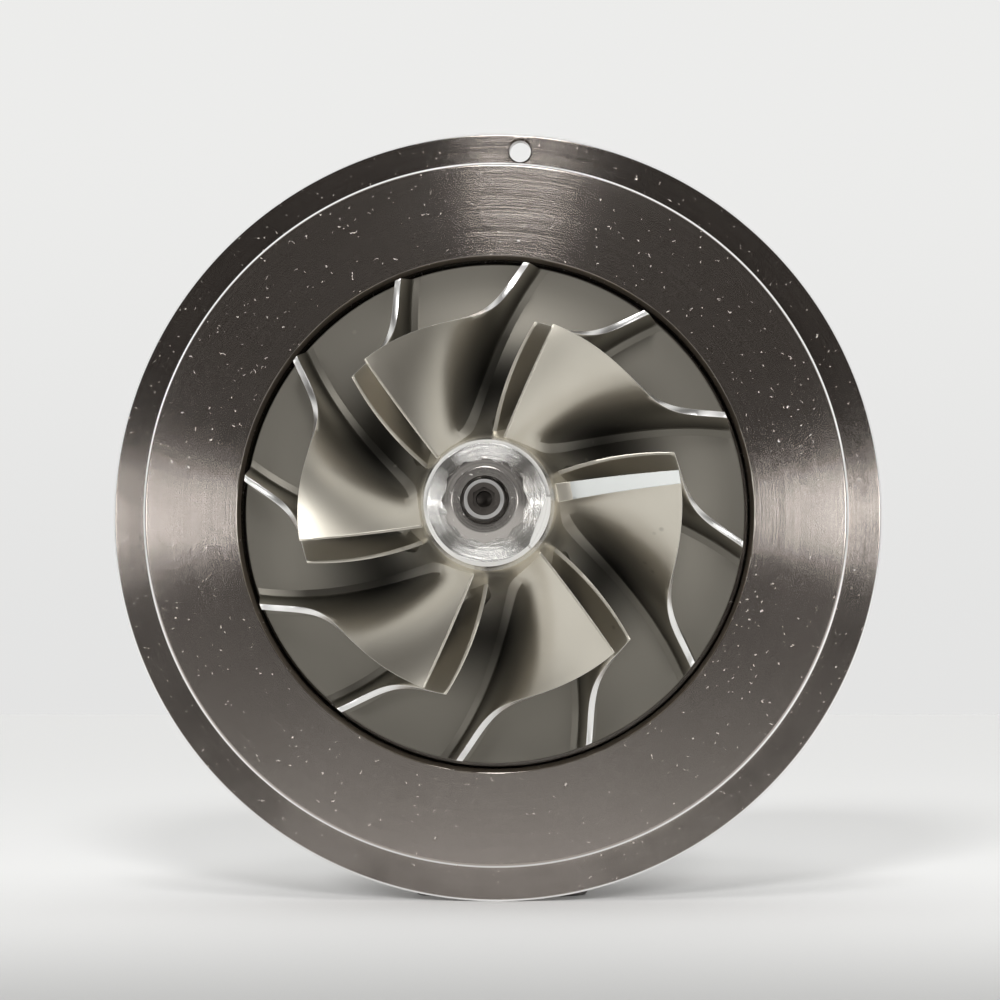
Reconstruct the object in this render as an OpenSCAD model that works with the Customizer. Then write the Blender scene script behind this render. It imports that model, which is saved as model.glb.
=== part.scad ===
// Turbo cartridge: the centre section of an exhaust turbocharger, with both wheels on one shaft.
// All lengths are millimetres and all angles are degrees.
// The shaft lies along Y, the compressor inlet looks towards -Y and +Z is up.
// The origin is on the shaft axis, in the face of the flange that the compressor cover seats on.
// Every piece is drawn upright first, with local Z along the shaft towards the compressor inlet
// and local Y up, and is then laid down by lay_down().

/* [Compressor backplate] */
// Outer diameter of the clamped flange
plate_d = 120; // [118:0.5:126]
// Thickness of the flange where its clamping cone starts
flange_t = 4.2; // [3.6:0.1:5]
// Thickness of the flange at its rim
flange_rim_t = 2.4; // [1.8:0.1:3]
// Width of the clamped flange outside the raised ring that pilots the compressor cover
flange_w = 5.4; // [4.5:0.1:7]
// Height of the raised ring above the flange face
ring_rise = 6.4; // [5:0.1:8]
// Gap between the rim of the compressor wheel and the recess around it
recess_gap = 0.8; // [0.5:0.1:2]
// Depth of the recess below the face of the raised ring
recess_depth = 5; // [4.4:0.1:6]
// Distance from the flange face back to the seat on the housing
plate_t = 6; // [5:0.1:9]
// Width of the chamfers on the turned edges
edge_chamfer = 0.5; // [0.3:0.1:0.8]
// Length of the spigot that enters the bearing housing
spigot_len = 3; // [2.8:0.1:4]
// Diameter of the spigot
spigot_d = 68; // [66:0.5:70]
// Diameter of the bore that the compressor seal ring sits in
seal_bore_d = 17; // [16:0.2:18]
// Diameter of the pocket behind the seal bore
pocket_d = 30; // [28:0.5:34]
// Depth of the pocket behind the seal bore
pocket_depth = 3.6; // [3.4:0.1:4]
// Diameter of the locating hole in the flange
locating_hole_d = 3.4; // [2.5:0.1:4]
// Angle of the locating hole, clockwise from the top
locating_hole_angle = 3.7; // [0:0.1:20]

/* [Compressor wheel] */
// Diameter at the blade outlet
exducer_d = 77; // [72:0.5:86]
// Diameter over the blade inlet
inducer_d = 57.4; // [54:0.2:60]
// Number of full blades, which is also the number of splitter blades
blade_pairs = 6; // [5:1:7]
// Length from the back seat to the nose face
wheel_len = 34.6; // [33:0.2:38]
// Height of the blade inlet edge above the back seat
inlet_height = 26.8; // [25:0.2:28]
// Height of the splitter inlet edge above the back seat
splitter_height = 20.6; // [18:0.2:22]
// Height of the blade tips above the back seat at the outlet
outlet_tip_height = 11.2; // [10:0.2:13]
// Height of the front of the rim above the back seat
rim_front_height = 4.6; // [4:0.1:5.4]
// Thickness of the rim
rim_t = 1.6; // [1.2:0.1:2]
// Diameter of the hub at the blade inlet
hub_inlet_d = 20.8; // [20.2:0.2:24]
// Diameter of the nose boss
nose_d = 18.7; // [17:0.1:20]
// Turn of a full blade along its tip
tip_wrap = 46.2; // [44:0.2:52]
// Turn of a full blade along its root
root_wrap = 50; // [46:0.5:54]
// Angle of the first blade's inlet tip, counter-clockwise from +X seen from the inlet
tip_angle = 128.5; // [0:0.1:360]
// Angle from a blade's inlet tip to its inlet root
inlet_lean = 2; // [0:0.1:6]
// Width of a blade tip around the wheel at the inlet
tip_inlet_w = 2.1; // [1.6:0.1:2.6]
// Width of a blade tip around the wheel at the outlet
tip_outlet_w = 1; // [0.8:0.1:1.6]
// Extra width of a blade at its root
root_extra_w = 0.7; // [0.4:0.1:1.2]
// Depth of the ground balancing flat on the nose
balance_cut = 1.1; // [0.6:0.1:1.6]
// Angle of the balancing flat, counter-clockwise from +X seen from the inlet
balance_angle = -18; // [-180:1:180]
// Gap between the wheel's back seat and the recess floor
wheel_gap = 1; // [0.6:0.1:1.6]

/* [Shaft and nut] */
// Diameter of the thread under the nut
thread_d = 6; // [5.6:0.1:6.4]
// Diameter of the stub that carries the compressor wheel
stub_d = 7; // [6.8:0.1:7.6]
// Diameter of the journals in the bearings
journal_d = 11; // [10.4:0.1:11.4]
// Diameter of the seal hub at the turbine end
seal_hub_d = 18.6; // [17.6:0.2:19]
// Height of the nut
nut_h = 8; // [6:0.2:9]
// Width of the nut across its points
nut_points_d = 12.8; // [11.6:0.1:14]
// Length of shaft that stands out of the nut
thread_stand = 2.4; // [1:0.1:5]

/* [Thrust stack] */
// Thickness of the thrust bearing
thrust_t = 5; // [4:0.1:6]
// Diameter of the thrust bearing
thrust_d = 60; // [57:0.5:61]
// Diameter of the thrust faces on the collar and the flinger
thrust_face_d = 22; // [20:0.5:23]
// Thickness of the inner thrust collar
collar_t = 3.9; // [3:0.1:5]
// Diameter of the spacer inside the thrust bearing
spacer_d = 14.4; // [13:0.1:15]
// Diameter of the flinger disc
flinger_d = 26; // [24:0.5:27]
// Thickness of the flinger disc
flinger_t = 2; // [1.6:0.1:2.2]
// Thickness of the oil baffle
baffle_t = 1; // [0.8:0.1:1.4]
// Diameter of the thrust dowels
dowel_d = 3; // [2.5:0.1:3.5]

/* [Journal bearings] */
// Outer diameter of the floating bushes
bush_d = 17; // [16.2:0.1:17.4]
// Length of each bush
bush_len = 11; // [9:0.2:12]
// Distance between the middles of the two bushes
bush_span = 26.8; // [25:0.2:30]
// Diameter of the oil holes in the bushes
oil_hole_d = 2.2; // [1.6:0.1:2.8]
// Thickness of the circlips
circlip_t = 1; // [0.8:0.1:1.2]

/* [Bearing housing] */
// Diameter of the flange that carries the backplate
front_flange_d = 100; // [99:0.5:104]
// Thickness of that flange
front_flange_t = 7; // [6:0.1:9]
// Diameter of the barrel between the flanges
barrel_d = 62; // [60:0.5:66]
// Wall of the barrel around the oil cavity
barrel_wall = 6; // [5:0.1:7]
// Diameter of the turbine flange
turbine_flange_d = 92; // [90:0.5:96]
// Thickness of the turbine flange
turbine_flange_t = 7; // [6:0.1:9]
// Diameter of the ring that pilots the turbine housing
turbine_pilot_d = 86; // [84:0.5:88]
// Height of that ring
turbine_pilot_h = 2.6; // [2:0.1:3.2]
// Diameter of the spigot inside the heat shield
shield_spigot_d = 64; // [60:0.5:66]
// Length of the spigot inside the heat shield
shield_spigot_len = 5; // [4.4:0.1:6]
// Width of the drain flange across the shaft
drain_w = 28; // [26:0.5:30]
// Length of the drain flange along the shaft
drain_len = 46; // [44:0.5:48]
// Distance of the drain in front of the middle between the bushes
drain_shift = 4; // [3:0.2:5]
// Thickness of the drain flange
drain_t = 10; // [8:0.2:11]
// Diameter of the drain bore
drain_bore_d = 19; // [16:0.5:21]
// Distance between the drain bolt holes
drain_bolt_span = 32; // [31:0.5:34]
// Diameter of the tapped drain bolt holes
drain_bolt_d = 6.8; // [5:0.1:7.2]
// Distance from the shaft axis up to the oil inlet face
inlet_rise = 43; // [41:0.5:47]
// Diameter of the oil inlet boss
inlet_boss_d = 26; // [24:0.5:30]
// Diameter of the tapped oil inlet
inlet_bore_d = 10.2; // [9:0.1:12]
// Depth of the tapped oil inlet
inlet_depth = 12; // [10:0.5:13]

/* [Fasteners and seals] */
// Number of backplate bolts
bolt_count = 4; // [4:1:6]
// Diameter of the backplate bolts
bolt_d = 6; // [5:0.1:6.4]
// Diameter of the circle that the backplate bolts stand on
bolt_circle_d = 88; // [86:0.5:88.5]
// Width of the bolt heads across flats
bolt_head_af = 10; // [9:0.1:10]
// Height of the bolt heads
bolt_head_h = 4.2; // [3:0.1:5]
// Length of bolt in the backplate
bolt_grip = 8; // [6:0.1:9]
// Thickness of the spring washers
washer_t = 1.5; // [1.2:0.1:1.8]
// Section diameter of the round seal on the spigot
seal_section_d = 1.6; // [1.4:0.1:1.8]
// Thickness of the split seal rings
seal_ring_t = 1.4; // [1:0.1:1.6]
// Radial width of the split seal rings
seal_ring_w = 1.4; // [1.2:0.1:1.6]

/* [Turbine wheel and heat shield] */
// Diameter of the turbine wheel at the blade inlet
turbine_d = 70; // [66:0.5:72]
// Diameter of the turbine wheel at the blade outlet
turbine_outlet_d = 59; // [56:0.5:62]
// Height of the blade inlet
turbine_inlet_w = 8.6; // [7:0.2:10]
// Length of the turbine wheel blades along the shaft
turbine_len = 28; // [26:0.5:30]
// Number of turbine blades
turbine_blades = 11; // [9:1:12]
// Turn of the turbine blades at the outlet
turbine_turn = 42; // [36:1:48]
// Diameter of the turbine hub at the outlet
turbine_hub_d = 18; // [16:0.5:20]
// Height of the driving hexagon on the turbine hub
turbine_hex_h = 4; // [3:0.2:6]
// Sheet thickness of the heat shield
shield_t = 1.2; // [1:0.1:1.5]
// Diameter of the turbine housing dowel
turbine_dowel_d = 3; // [2.4:0.1:3.4]
// Length of the turbine housing dowel outside the flange
turbine_dowel_stand = 3.4; // [2:0.1:4]

/* [Hidden] */

// Smoothness of turned faces, and the sides of a hexagon
round_fn = 96;
hex_fn = 6;
// Overlap that lets one cut or joined shape run past another
past = 1;

// Clearances
fit_gap = 0.02;
running_gap = 0.06;
seal_gap = 0.2;
thrust_gap = 0.1;
loose_gap = 0.3;
clear_gap = 0.6;

// Stations along the shaft, positive towards the compressor inlet
flange_face = 0;
ring_face = ring_rise;
recess_floor = ring_face - recess_depth;
plate_seat = -plate_t;
spigot_back = plate_seat - spigot_len;
pocket_floor = spigot_back + pocket_depth;
thrust_front = spigot_back - baffle_t;
thrust_back = thrust_front - thrust_t;
flinger_back = thrust_front + thrust_gap;
flinger_disc_back = spigot_back + clear_gap;
collar_front = thrust_back - thrust_gap;
shaft_shoulder = collar_front - collar_t;
wheel_seat = recess_floor + wheel_gap;
nose_face = wheel_seat + wheel_len;
nut_front = nose_face + nut_h;
shaft_front = nut_front + thread_stand;
carrier_front = shaft_shoulder - clear_gap;
front_bush_start = carrier_front - 2 * circlip_t - loose_gap;
front_bush_mid = front_bush_start - bush_len / 2;
rear_bush_mid = front_bush_mid - bush_span;
rear_bush_end = rear_bush_mid - bush_len / 2;
carrier_back = rear_bush_end - 2 * circlip_t - loose_gap;
seal_hub_front = carrier_back - past;
turbine_face = seal_hub_front - seal_ring_t * 2 - past;
spigot_end = turbine_face - shield_spigot_len;
shield_back = spigot_end - clear_gap - shield_t;
turbine_seat = shield_back - clear_gap;
turbine_end = turbine_seat - turbine_len;
hex_end = turbine_end - turbine_hex_h;

// Radii
plate_r = plate_d / 2;
pilot_r = plate_r - flange_w;
spigot_r = spigot_d / 2;
seal_bore_r = seal_bore_d / 2;
exducer_r = exducer_d / 2;
recess_r = exducer_r + recess_gap;
inducer_r = inducer_d / 2;
hub_inlet_r = hub_inlet_d / 2;
nose_r = nose_d / 2;
stub_r = stub_d / 2;
thread_r = thread_d / 2;
journal_r = journal_d / 2;
seal_hub_r = seal_hub_d / 2;
turbine_bore_r = seal_hub_r + seal_gap;
bush_r = bush_d / 2;
bush_bore_r = journal_r + running_gap;
carrier_bore_r = bush_r + running_gap;
carrier_wall = 4.6;
carrier_r = carrier_bore_r + carrier_wall;
barrel_r = barrel_d / 2;
cavity_r = barrel_r - barrel_wall;
thrust_r = thrust_d / 2;
thrust_face_r = thrust_face_d / 2;
thrust_bore_r = spacer_d / 2 + loose_gap;
bolt_r = bolt_d / 2;
bolt_circle_r = bolt_circle_d / 2;
shield_spigot_r = shield_spigot_d / 2;
shield_r = shield_spigot_r + loose_gap;
shield_rim_r = shield_r + 4 * shield_t;
turbine_pilot_r = turbine_pilot_d / 2;
turbine_r = turbine_d / 2;
turbine_hub_r = turbine_hub_d / 2;

// Lays a piece that is drawn upright along the shaft axis
module lay_down() rotate([90, 0, 0]) children();

// A turned solid from a half profile of [radius, station] points
module turned(profile) rotate_extrude($fn = round_fn) polygon(profile);

// A round rod or a hole between two stations
module rod(r, from, to) translate([0, 0, min(from, to)]) cylinder(r = r, h = abs(to - from), $fn = round_fn);

// A round rod that points straight up from the shaft axis, between two heights
module riser(r, station, from, to)
    translate([0, from, station]) rotate([-90, 0, 0]) cylinder(r = r, h = to - from, $fn = round_fn);

// A ring between two radii and two stations
module ring(r_in, r_out, from, to) difference() {
    rod(r_out, from, to);
    rod(r_in, min(from, to) - past, max(from, to) + past);
}

// A ring with a gap cut through its top
module split_ring(r_in, r_out, from, to, gap) difference() {
    ring(r_in, r_out, from, to);
    translate([-gap / 2, 0, min(from, to) - past])
        cube([gap, r_out + past, abs(to - from) + 2 * past]);
}

// Copies of a child evenly spaced around the shaft
module around(count, start = 0) for (i = [0 : count - 1]) rotate(start + i * 360 / count) children();

// A flat plate with round corners, drawn from squares and circles
module round_plate(w, l, r) union() {
    square([w - 2 * r, l], center = true);
    square([w, l - 2 * r], center = true);
    for (x = [-1, 1], y = [-1, 1]) translate([x * (w / 2 - r), y * (l / 2 - r)]) circle(r, $fn = round_fn);
}

// Value between a and b
function between(a, b, t) = a + (b - a) * t;

// Cumulative share of a blade's turn, steep at the inlet and easing along the blade
function turn_share(s, first, second) = first * s + second * s * s + (1 - first - second) * s * s * s;

// A closed blade from a grid of points, with s from inlet to outlet and v from root to tip.
// points lists one side and then the other, row by row.
module blade_solid(points, rows, cols) {
    side = rows * cols;
    function at(k, i, j) = k * side + i * cols + j;
    function quad(a, b, c, d) = [[a, b, c], [a, c, d]];
    faces = [
        for (i = [0 : rows - 2], j = [0 : cols - 2], f = quad(at(0, i, j), at(0, i + 1, j),
            at(0, i + 1, j + 1), at(0, i, j + 1))) f,
        for (i = [0 : rows - 2], j = [0 : cols - 2], f = quad(at(1, i, j), at(1, i, j + 1),
            at(1, i + 1, j + 1), at(1, i + 1, j))) f,
        for (i = [0 : rows - 2], f = quad(at(0, i, 0), at(1, i, 0), at(1, i + 1, 0), at(0, i + 1, 0))) f,
        for (i = [0 : rows - 2], f = quad(at(0, i, cols - 1), at(0, i + 1, cols - 1),
            at(1, i + 1, cols - 1), at(1, i, cols - 1))) f,
        for (j = [0 : cols - 2], f = quad(at(0, 0, j), at(0, 0, j + 1), at(1, 0, j + 1), at(1, 0, j))) f,
        for (j = [0 : cols - 2], f = quad(at(0, rows - 1, j), at(1, rows - 1, j),
            at(1, rows - 1, j + 1), at(0, rows - 1, j + 1))) f];
    polyhedron(points = points, faces = faces);
}

// Compressor blade surface: tip and root lines as quarter bends, joined by straight lines
rim_gap = 0.1;
blade_out_r = exducer_r - rim_gap;
tip_bend = 1.8;
tip_first = 2.36;
tip_second = -2.2;
root_first = 1.7;
root_second = -1.1;
root_sink = -0.12;
inlet_z = wheel_seat + inlet_height;
splitter_z = wheel_seat + splitter_height;
outlet_tip_z = wheel_seat + outlet_tip_height;
rim_front_z = wheel_seat + rim_front_height;
function tip_r(s) = between(inducer_r, blade_out_r, pow(1 - cos(90 * s), tip_bend));
function tip_z(s) = between(inlet_z, outlet_tip_z, sin(90 * s));
function root_r(s) = between(hub_inlet_r, blade_out_r, 1 - cos(90 * s));
function root_z(s) = between(inlet_z, rim_front_z, sin(90 * s));
function tip_turn(s) = tip_angle - tip_wrap * turn_share(s, tip_first, tip_second);
function root_turn(s) = tip_angle + inlet_lean - root_wrap * turn_share(s, root_first, root_second);
function blade_w(s, v) = between(tip_inlet_w, tip_outlet_w, sqrt(s)) + root_extra_w * (1 - v);
function blade_point(s, v, side) =
    let (r = between(root_r(s), tip_r(s), v),
        z = between(root_z(s), tip_z(s), v),
        a = between(root_turn(s), tip_turn(s), v) + side * blade_w(s, v) / 2 / r * 180 / PI)
    [r * cos(a), r * sin(a), z];
// Share of a tip or root line at which it crosses the splitter inlet plane
function splitter_start(low_z) = asin((inlet_z - splitter_z) / (inlet_z - low_z)) / 90;
blade_rows = 13;
blade_cols = 5;
module compressor_blade(tip_start, root_start) {
    points = [for (side = [1, -1], i = [0 : blade_rows - 1], j = [0 : blade_cols - 1])
        let (v = between(root_sink, 1, j / (blade_cols - 1)),
            s = between(between(root_start, tip_start, max(v, 0)), 1, i / (blade_rows - 1)))
        blade_point(s, v, side)];
    blade_solid(points, blade_rows, blade_cols);
}

// Turbine blade surface: straight along the shaft at the inlet, turned at the outlet
turbine_sink = -0.14;
turbine_root_r = turbine_hub_r;
turbine_floor = turbine_seat - rim_t;
turbine_out_r = turbine_outlet_d / 2;
turbine_tip_w = 1.3;
turbine_root_w = 2.6;
turbine_ease = 2.4;
turbine_disc_r = turbine_r - past;
function turbine_root(s) = [between(turbine_disc_r, turbine_root_r, sin(90 * s)),
    between(turbine_floor, turbine_end, 1 - cos(90 * s))];
function turbine_tip(s) = [between(turbine_r, turbine_out_r, sin(90 * s)),
    between(turbine_floor - turbine_inlet_w, turbine_end, 1 - cos(90 * s))];
function turbine_point(s, v, side) =
    let (p = between(turbine_root(s), turbine_tip(s), v),
        a = -turbine_turn * pow(s, turbine_ease)
            + side * between(turbine_root_w, turbine_tip_w, v) / 2 / p[0] * 180 / PI)
    [p[0] * cos(a), p[0] * sin(a), p[1]];
module turbine_blade() {
    points = [for (side = [1, -1], i = [0 : blade_rows - 1], j = [0 : blade_cols - 1])
        turbine_point(i / (blade_rows - 1), between(turbine_sink, 1, j / (blade_cols - 1)), side)];
    blade_solid(points, blade_rows, blade_cols);
}

// Places of the backplate bolts
module at_bolts() around(bolt_count, 360 / bolt_count / 2) translate([bolt_circle_r, 0, 0]) children();

// Places of the thrust dowels
dowel_x = 17;
dowel_y = 13;
module at_dowels() for (x = [-1, 1]) translate([x * dowel_x, dowel_y, 0]) children();

seal_groove_w = seal_section_d + clear_gap;
seal_groove_r = spigot_r - seal_section_d - fit_gap;
locating_r = (plate_r + pilot_r) / 2;
module compressor_backplate() color("dimgray") lay_down() difference() {
    turned([[seal_bore_r, recess_floor], [recess_r, recess_floor],
        [recess_r, ring_face - edge_chamfer], [recess_r + edge_chamfer, ring_face],
        [pilot_r - edge_chamfer, ring_face], [pilot_r, ring_face - edge_chamfer],
        [pilot_r, flange_face], [plate_r - edge_chamfer / 2, flange_face],
        [plate_r, flange_face - edge_chamfer / 2], [plate_r, flange_face - flange_rim_t],
        [pilot_r, flange_face - flange_t], [front_flange_d / 2, flange_face - flange_t],
        [front_flange_d / 2, plate_seat], [spigot_r, plate_seat],
        [spigot_r, plate_seat - (spigot_len - seal_groove_w) / 2],
        [seal_groove_r, plate_seat - (spigot_len - seal_groove_w) / 2],
        [seal_groove_r, spigot_back + (spigot_len - seal_groove_w) / 2],
        [spigot_r, spigot_back + (spigot_len - seal_groove_w) / 2],
        [spigot_r, spigot_back], [pocket_d / 2, spigot_back],
        [pocket_d / 2, pocket_floor], [seal_bore_r, pocket_floor]]);
    rotate(-locating_hole_angle) translate([0, locating_r, 0])
        rod(locating_hole_d / 2, flange_face + past, flange_face - flange_t - past);
    at_bolts() rod(bolt_r + fit_gap, plate_seat - past, plate_seat + bolt_grip + clear_gap);
}

seal_centre_r = spigot_r + fit_gap - seal_section_d / 2;
module backplate_seal() color("black") lay_down()
    translate([0, 0, plate_seat - spigot_len / 2]) rotate_extrude($fn = round_fn)
        translate([seal_centre_r, 0]) circle(d = seal_section_d - fit_gap, $fn = round_fn);

washer_back = plate_seat - front_flange_t - washer_t;
head_r = bolt_head_af / 2 / cos(30);
module backplate_bolts() color("silver") lay_down() at_bolts() union() {
    rod(bolt_r, washer_back, plate_seat + bolt_grip);
    translate([0, 0, washer_back - bolt_head_h]) cylinder(r = head_r, h = bolt_head_h, $fn = hex_fn);
}

washer_gap = 1;
module spring_washers() color("gray") lay_down() at_bolts()
    split_ring(bolt_r + fit_gap, bolt_head_af / 2, washer_back, washer_back + washer_t, washer_gap);

baffle_bore_r = thrust_face_r + 2 * clear_gap;
baffle_notch_w = 16;
module oil_baffle() color("goldenrod") lay_down() difference() {
    ring(baffle_bore_r, thrust_r, thrust_front, spigot_back);
    translate([-baffle_notch_w / 2, -thrust_r - past, thrust_front - past])
        cube([baffle_notch_w, thrust_r - pocket_d / 2 - past, baffle_t + 2 * past]);
}

compressor_groove_front = recess_floor - seal_ring_t * 2;
ring_gap = 0.4;
module compressor_seal_ring() color("slategray") lay_down()
    split_ring(seal_bore_r - fit_gap - seal_ring_w, seal_bore_r - fit_gap,
        compressor_groove_front, compressor_groove_front - seal_ring_t, ring_gap);

oil_slot_w = 2;
oil_slot_depth = 0.5;
pad_slots = 3;
feed_y = 19;
feed_r = 1.1;
module thrust_bearing() color("peru") lay_down() difference() {
    ring(thrust_bore_r, thrust_r, thrust_front, thrust_back);
    for (face = [thrust_front, thrust_back]) around(pad_slots, 90)
        translate([0, -oil_slot_w / 2, face - oil_slot_depth])
            cube([thrust_face_r, oil_slot_w, 2 * oil_slot_depth]);
    riser(feed_r, (thrust_front + thrust_back) / 2, 0, feed_y);
    translate([0, feed_y, 0]) rod(feed_r, thrust_back - past, (thrust_front + thrust_back) / 2);
    at_dowels() rod(dowel_d / 2 + fit_gap, thrust_front + past, thrust_back - past);
    translate([-baffle_notch_w / 2, -thrust_r - past, thrust_back - past])
        cube([baffle_notch_w, thrust_r - pocket_d / 2 - past, thrust_t + 2 * past]);
}

dowel_depth = 4;
module thrust_dowels() color("silver") lay_down() at_dowels()
    rod(dowel_d / 2, thrust_front - clear_gap, thrust_back - dowel_depth);

// Bearing housing
neck_r = 6;
neck_steps = 6;
bush_middle = (front_bush_mid + rear_bush_mid) / 2;
drain_mid = bush_middle + drain_shift;
// The drain face is level with the lowest point of the flange, so the cartridge stands on both
drain_drop = plate_r;
drain_wall = 4.4;
drain_trunk_r = drain_bore_d / 2 + drain_wall;
drain_corner_r = 9;
drain_bolt_depth = drain_t - 2 * past;
inlet_mid = bush_middle;
inlet_floor = inlet_rise - inlet_depth;
feed_pot_r = 2.6;
feed_depth = 10;
feed_floor = inlet_floor - feed_depth;
// Depths below the inlet floor at which the drillings leave the feed hole
thrust_feed_depth = 1.6;
front_feed_depth = 4.6;
rear_feed_depth = 7.6;
web_w = 9;
return_slot_r = 4;
rib_w = 6;
collar_room_r = thrust_face_r + 3 * clear_gap;
cavity_front = carrier_front - 2 * circlip_t;
cavity_back = carrier_back + 2 * circlip_t;
turbine_flange_front = turbine_face + turbine_flange_t;
turbine_rim_t = turbine_flange_t / 2;
shield_room_r = shield_rim_r + loose_gap;
circlip_out_r = carrier_bore_r + circlip_t;
circlip_in_r = bush_bore_r + (bush_r - bush_bore_r) / 2;
// Stations of the front face of each circlip
circlip_fronts = [carrier_front - circlip_t / 2, front_bush_start - bush_len - loose_gap / 2,
    rear_bush_mid + bush_len / 2 + loose_gap / 2 + circlip_t, rear_bush_end - loose_gap / 2];

module housing_shell() difference() {
    union() {
        turned(concat([[0, plate_seat], [front_flange_d / 2, plate_seat],
            [front_flange_d / 2, plate_seat - front_flange_t]],
            [for (i = [0 : neck_steps]) [barrel_r + neck_r * (1 - sin(90 * i / neck_steps)),
                plate_seat - front_flange_t - neck_r * (1 - cos(90 * i / neck_steps))]],
            [for (i = [0 : neck_steps]) [barrel_r + neck_r * (1 - cos(90 * i / neck_steps)),
                turbine_flange_front + neck_r * (1 - sin(90 * i / neck_steps))]],
            [[turbine_pilot_r, turbine_flange_front],
            [turbine_flange_d / 2, turbine_face + turbine_rim_t], [turbine_flange_d / 2, turbine_face],
            [turbine_pilot_r, turbine_face], [turbine_pilot_r, turbine_face - turbine_pilot_h],
            [shield_room_r, turbine_face - turbine_pilot_h], [shield_room_r, turbine_face],
            [shield_spigot_r, turbine_face], [shield_spigot_r, spigot_end + shield_t],
            [shield_spigot_r - shield_t, spigot_end], [0, spigot_end]]));
        riser(drain_trunk_r, drain_mid, -drain_drop + past, 0);
        translate([0, -drain_drop, drain_mid]) rotate([-90, 0, 0]) linear_extrude(drain_t)
            round_plate(drain_w, drain_len, drain_corner_r);
        riser(inlet_boss_d / 2, inlet_mid, 0, inlet_rise);
        around(bolt_count) translate([0, -rib_w / 2, 0]) rotate([90, 0, 0]) mirror([0, 0, 1])
            linear_extrude(rib_w) polygon([[0, plate_seat - past],
                [front_flange_d / 2 - neck_r, plate_seat - front_flange_t],
                [barrel_r, plate_seat - front_flange_t - 2 * neck_r],
                [0, plate_seat - front_flange_t - 2 * neck_r]]);
    }
    ring(carrier_r, cavity_r, cavity_front, cavity_back);
    rod(spigot_r + fit_gap, plate_seat + past, spigot_back);
    rod(thrust_r + fit_gap, plate_seat + past, thrust_back);
}

module housing_web() intersection() {
    translate([-web_w / 2, 0, cavity_back]) cube([web_w, barrel_r - past, cavity_front - cavity_back]);
    rod(cavity_r + past, cavity_front, cavity_back);
}

// Slanting oil drilling from the axis of the feed hole to a point that opens into another hollow
module drilling(from_y, to_station, to_y) {
    rise = from_y - to_y;
    run = to_station - inlet_mid;
    translate([0, to_y, to_station]) rotate([-90 - atan2(run, rise), 0, 0]) translate([0, 0, -past])
        cylinder(r = feed_r, h = norm([rise, run]) + past, $fn = round_fn);
}

module bearing_housing() color("darkslategray") lay_down() difference() {
    union() {
        housing_shell();
        housing_web();
    }
    rod(collar_room_r, thrust_back + past, carrier_front);
    rod(carrier_bore_r, carrier_front + past, carrier_back - past);
    rod(turbine_bore_r, carrier_back, spigot_end - past);
    for (front = circlip_fronts) rod(circlip_out_r + fit_gap, front + fit_gap, front - circlip_t - fit_gap);
    riser(drain_bore_d / 2, drain_mid, -drain_drop - past, -carrier_r);
    riser(return_slot_r, bush_middle, -carrier_r - past, 0);
    translate([0, return_slot_r + past - cavity_r, 0])
        rod(return_slot_r, thrust_back + past, cavity_front - past);
    for (side = [-1, 1]) riser(drain_bolt_d / 2, drain_mid + side * drain_bolt_span / 2,
        -drain_drop - past, -drain_drop + drain_bolt_depth);
    riser(inlet_bore_d / 2, inlet_mid, inlet_floor, inlet_rise + past);
    riser(feed_pot_r, inlet_mid, feed_floor, inlet_floor + past);
    drilling(inlet_floor - thrust_feed_depth, thrust_back + past / 2, feed_y);
    drilling(inlet_floor - front_feed_depth, front_bush_mid, bush_r);
    drilling(inlet_floor - rear_feed_depth, rear_bush_mid, bush_r);
    at_bolts() rod(bolt_r + loose_gap, plate_seat + past, plate_seat - front_flange_t - past);
    at_dowels() rod(dowel_d / 2 + fit_gap, thrust_back + past, thrust_back - dowel_depth - past);
    translate([0, turbine_dowel_r, 0]) rod(turbine_dowel_d / 2 + fit_gap,
        turbine_face - turbine_pilot_h - past, turbine_face + turbine_dowel_depth);
}

module bearing_circlips() color("gray") lay_down() for (front = circlip_fronts)
    split_ring(circlip_in_r, circlip_out_r, front, front - circlip_t, bush_r);

turbine_ring_front = turbine_face - seal_ring_t / 2;
module turbine_seal_ring() color("slategray") lay_down()
    split_ring(turbine_bore_r - fit_gap - seal_ring_w, turbine_bore_r - fit_gap,
        turbine_ring_front, turbine_ring_front - seal_ring_t, ring_gap);

shield_bore_r = turbine_bore_r + 2 * clear_gap;
module heat_shield() color("rosybrown") lay_down()
    turned([[shield_r, turbine_face], [shield_rim_r, turbine_face], [shield_rim_r, turbine_face - shield_t],
        [shield_r + shield_t, turbine_face - shield_t], [shield_r + shield_t, shield_back + shield_t],
        [shield_r, shield_back], [shield_bore_r, shield_back], [shield_bore_r, shield_back + shield_t],
        [shield_r - shield_t, shield_back + shield_t], [shield_r, shield_back + 2 * shield_t]]);

turbine_dowel_depth = 4;
turbine_dowel_r = (turbine_pilot_r + shield_room_r) / 2;
module turbine_dowel() color("silver") lay_down() translate([0, turbine_dowel_r, 0])
    rod(turbine_dowel_d / 2, turbine_face - turbine_pilot_h - turbine_dowel_stand,
        turbine_face + turbine_dowel_depth - clear_gap);

// Floating bush with a ring of oil holes around its middle
bush_oil_holes = 6;
bush_chamfer = 0.5;
module bush(mid) difference() {
    turned([[bush_bore_r, mid - bush_len / 2], [bush_r - bush_chamfer, mid - bush_len / 2],
        [bush_r, mid - bush_len / 2 + bush_chamfer], [bush_r, mid + bush_len / 2 - bush_chamfer],
        [bush_r - bush_chamfer, mid + bush_len / 2], [bush_bore_r, mid + bush_len / 2]]);
    around(bush_oil_holes) riser(oil_hole_d / 2, mid, 0, bush_r + past);
}
module compressor_bearing() color("darkgoldenrod") lay_down() bush(front_bush_mid);
module turbine_bearing() color("darkgoldenrod") lay_down() bush(rear_bush_mid);

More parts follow.
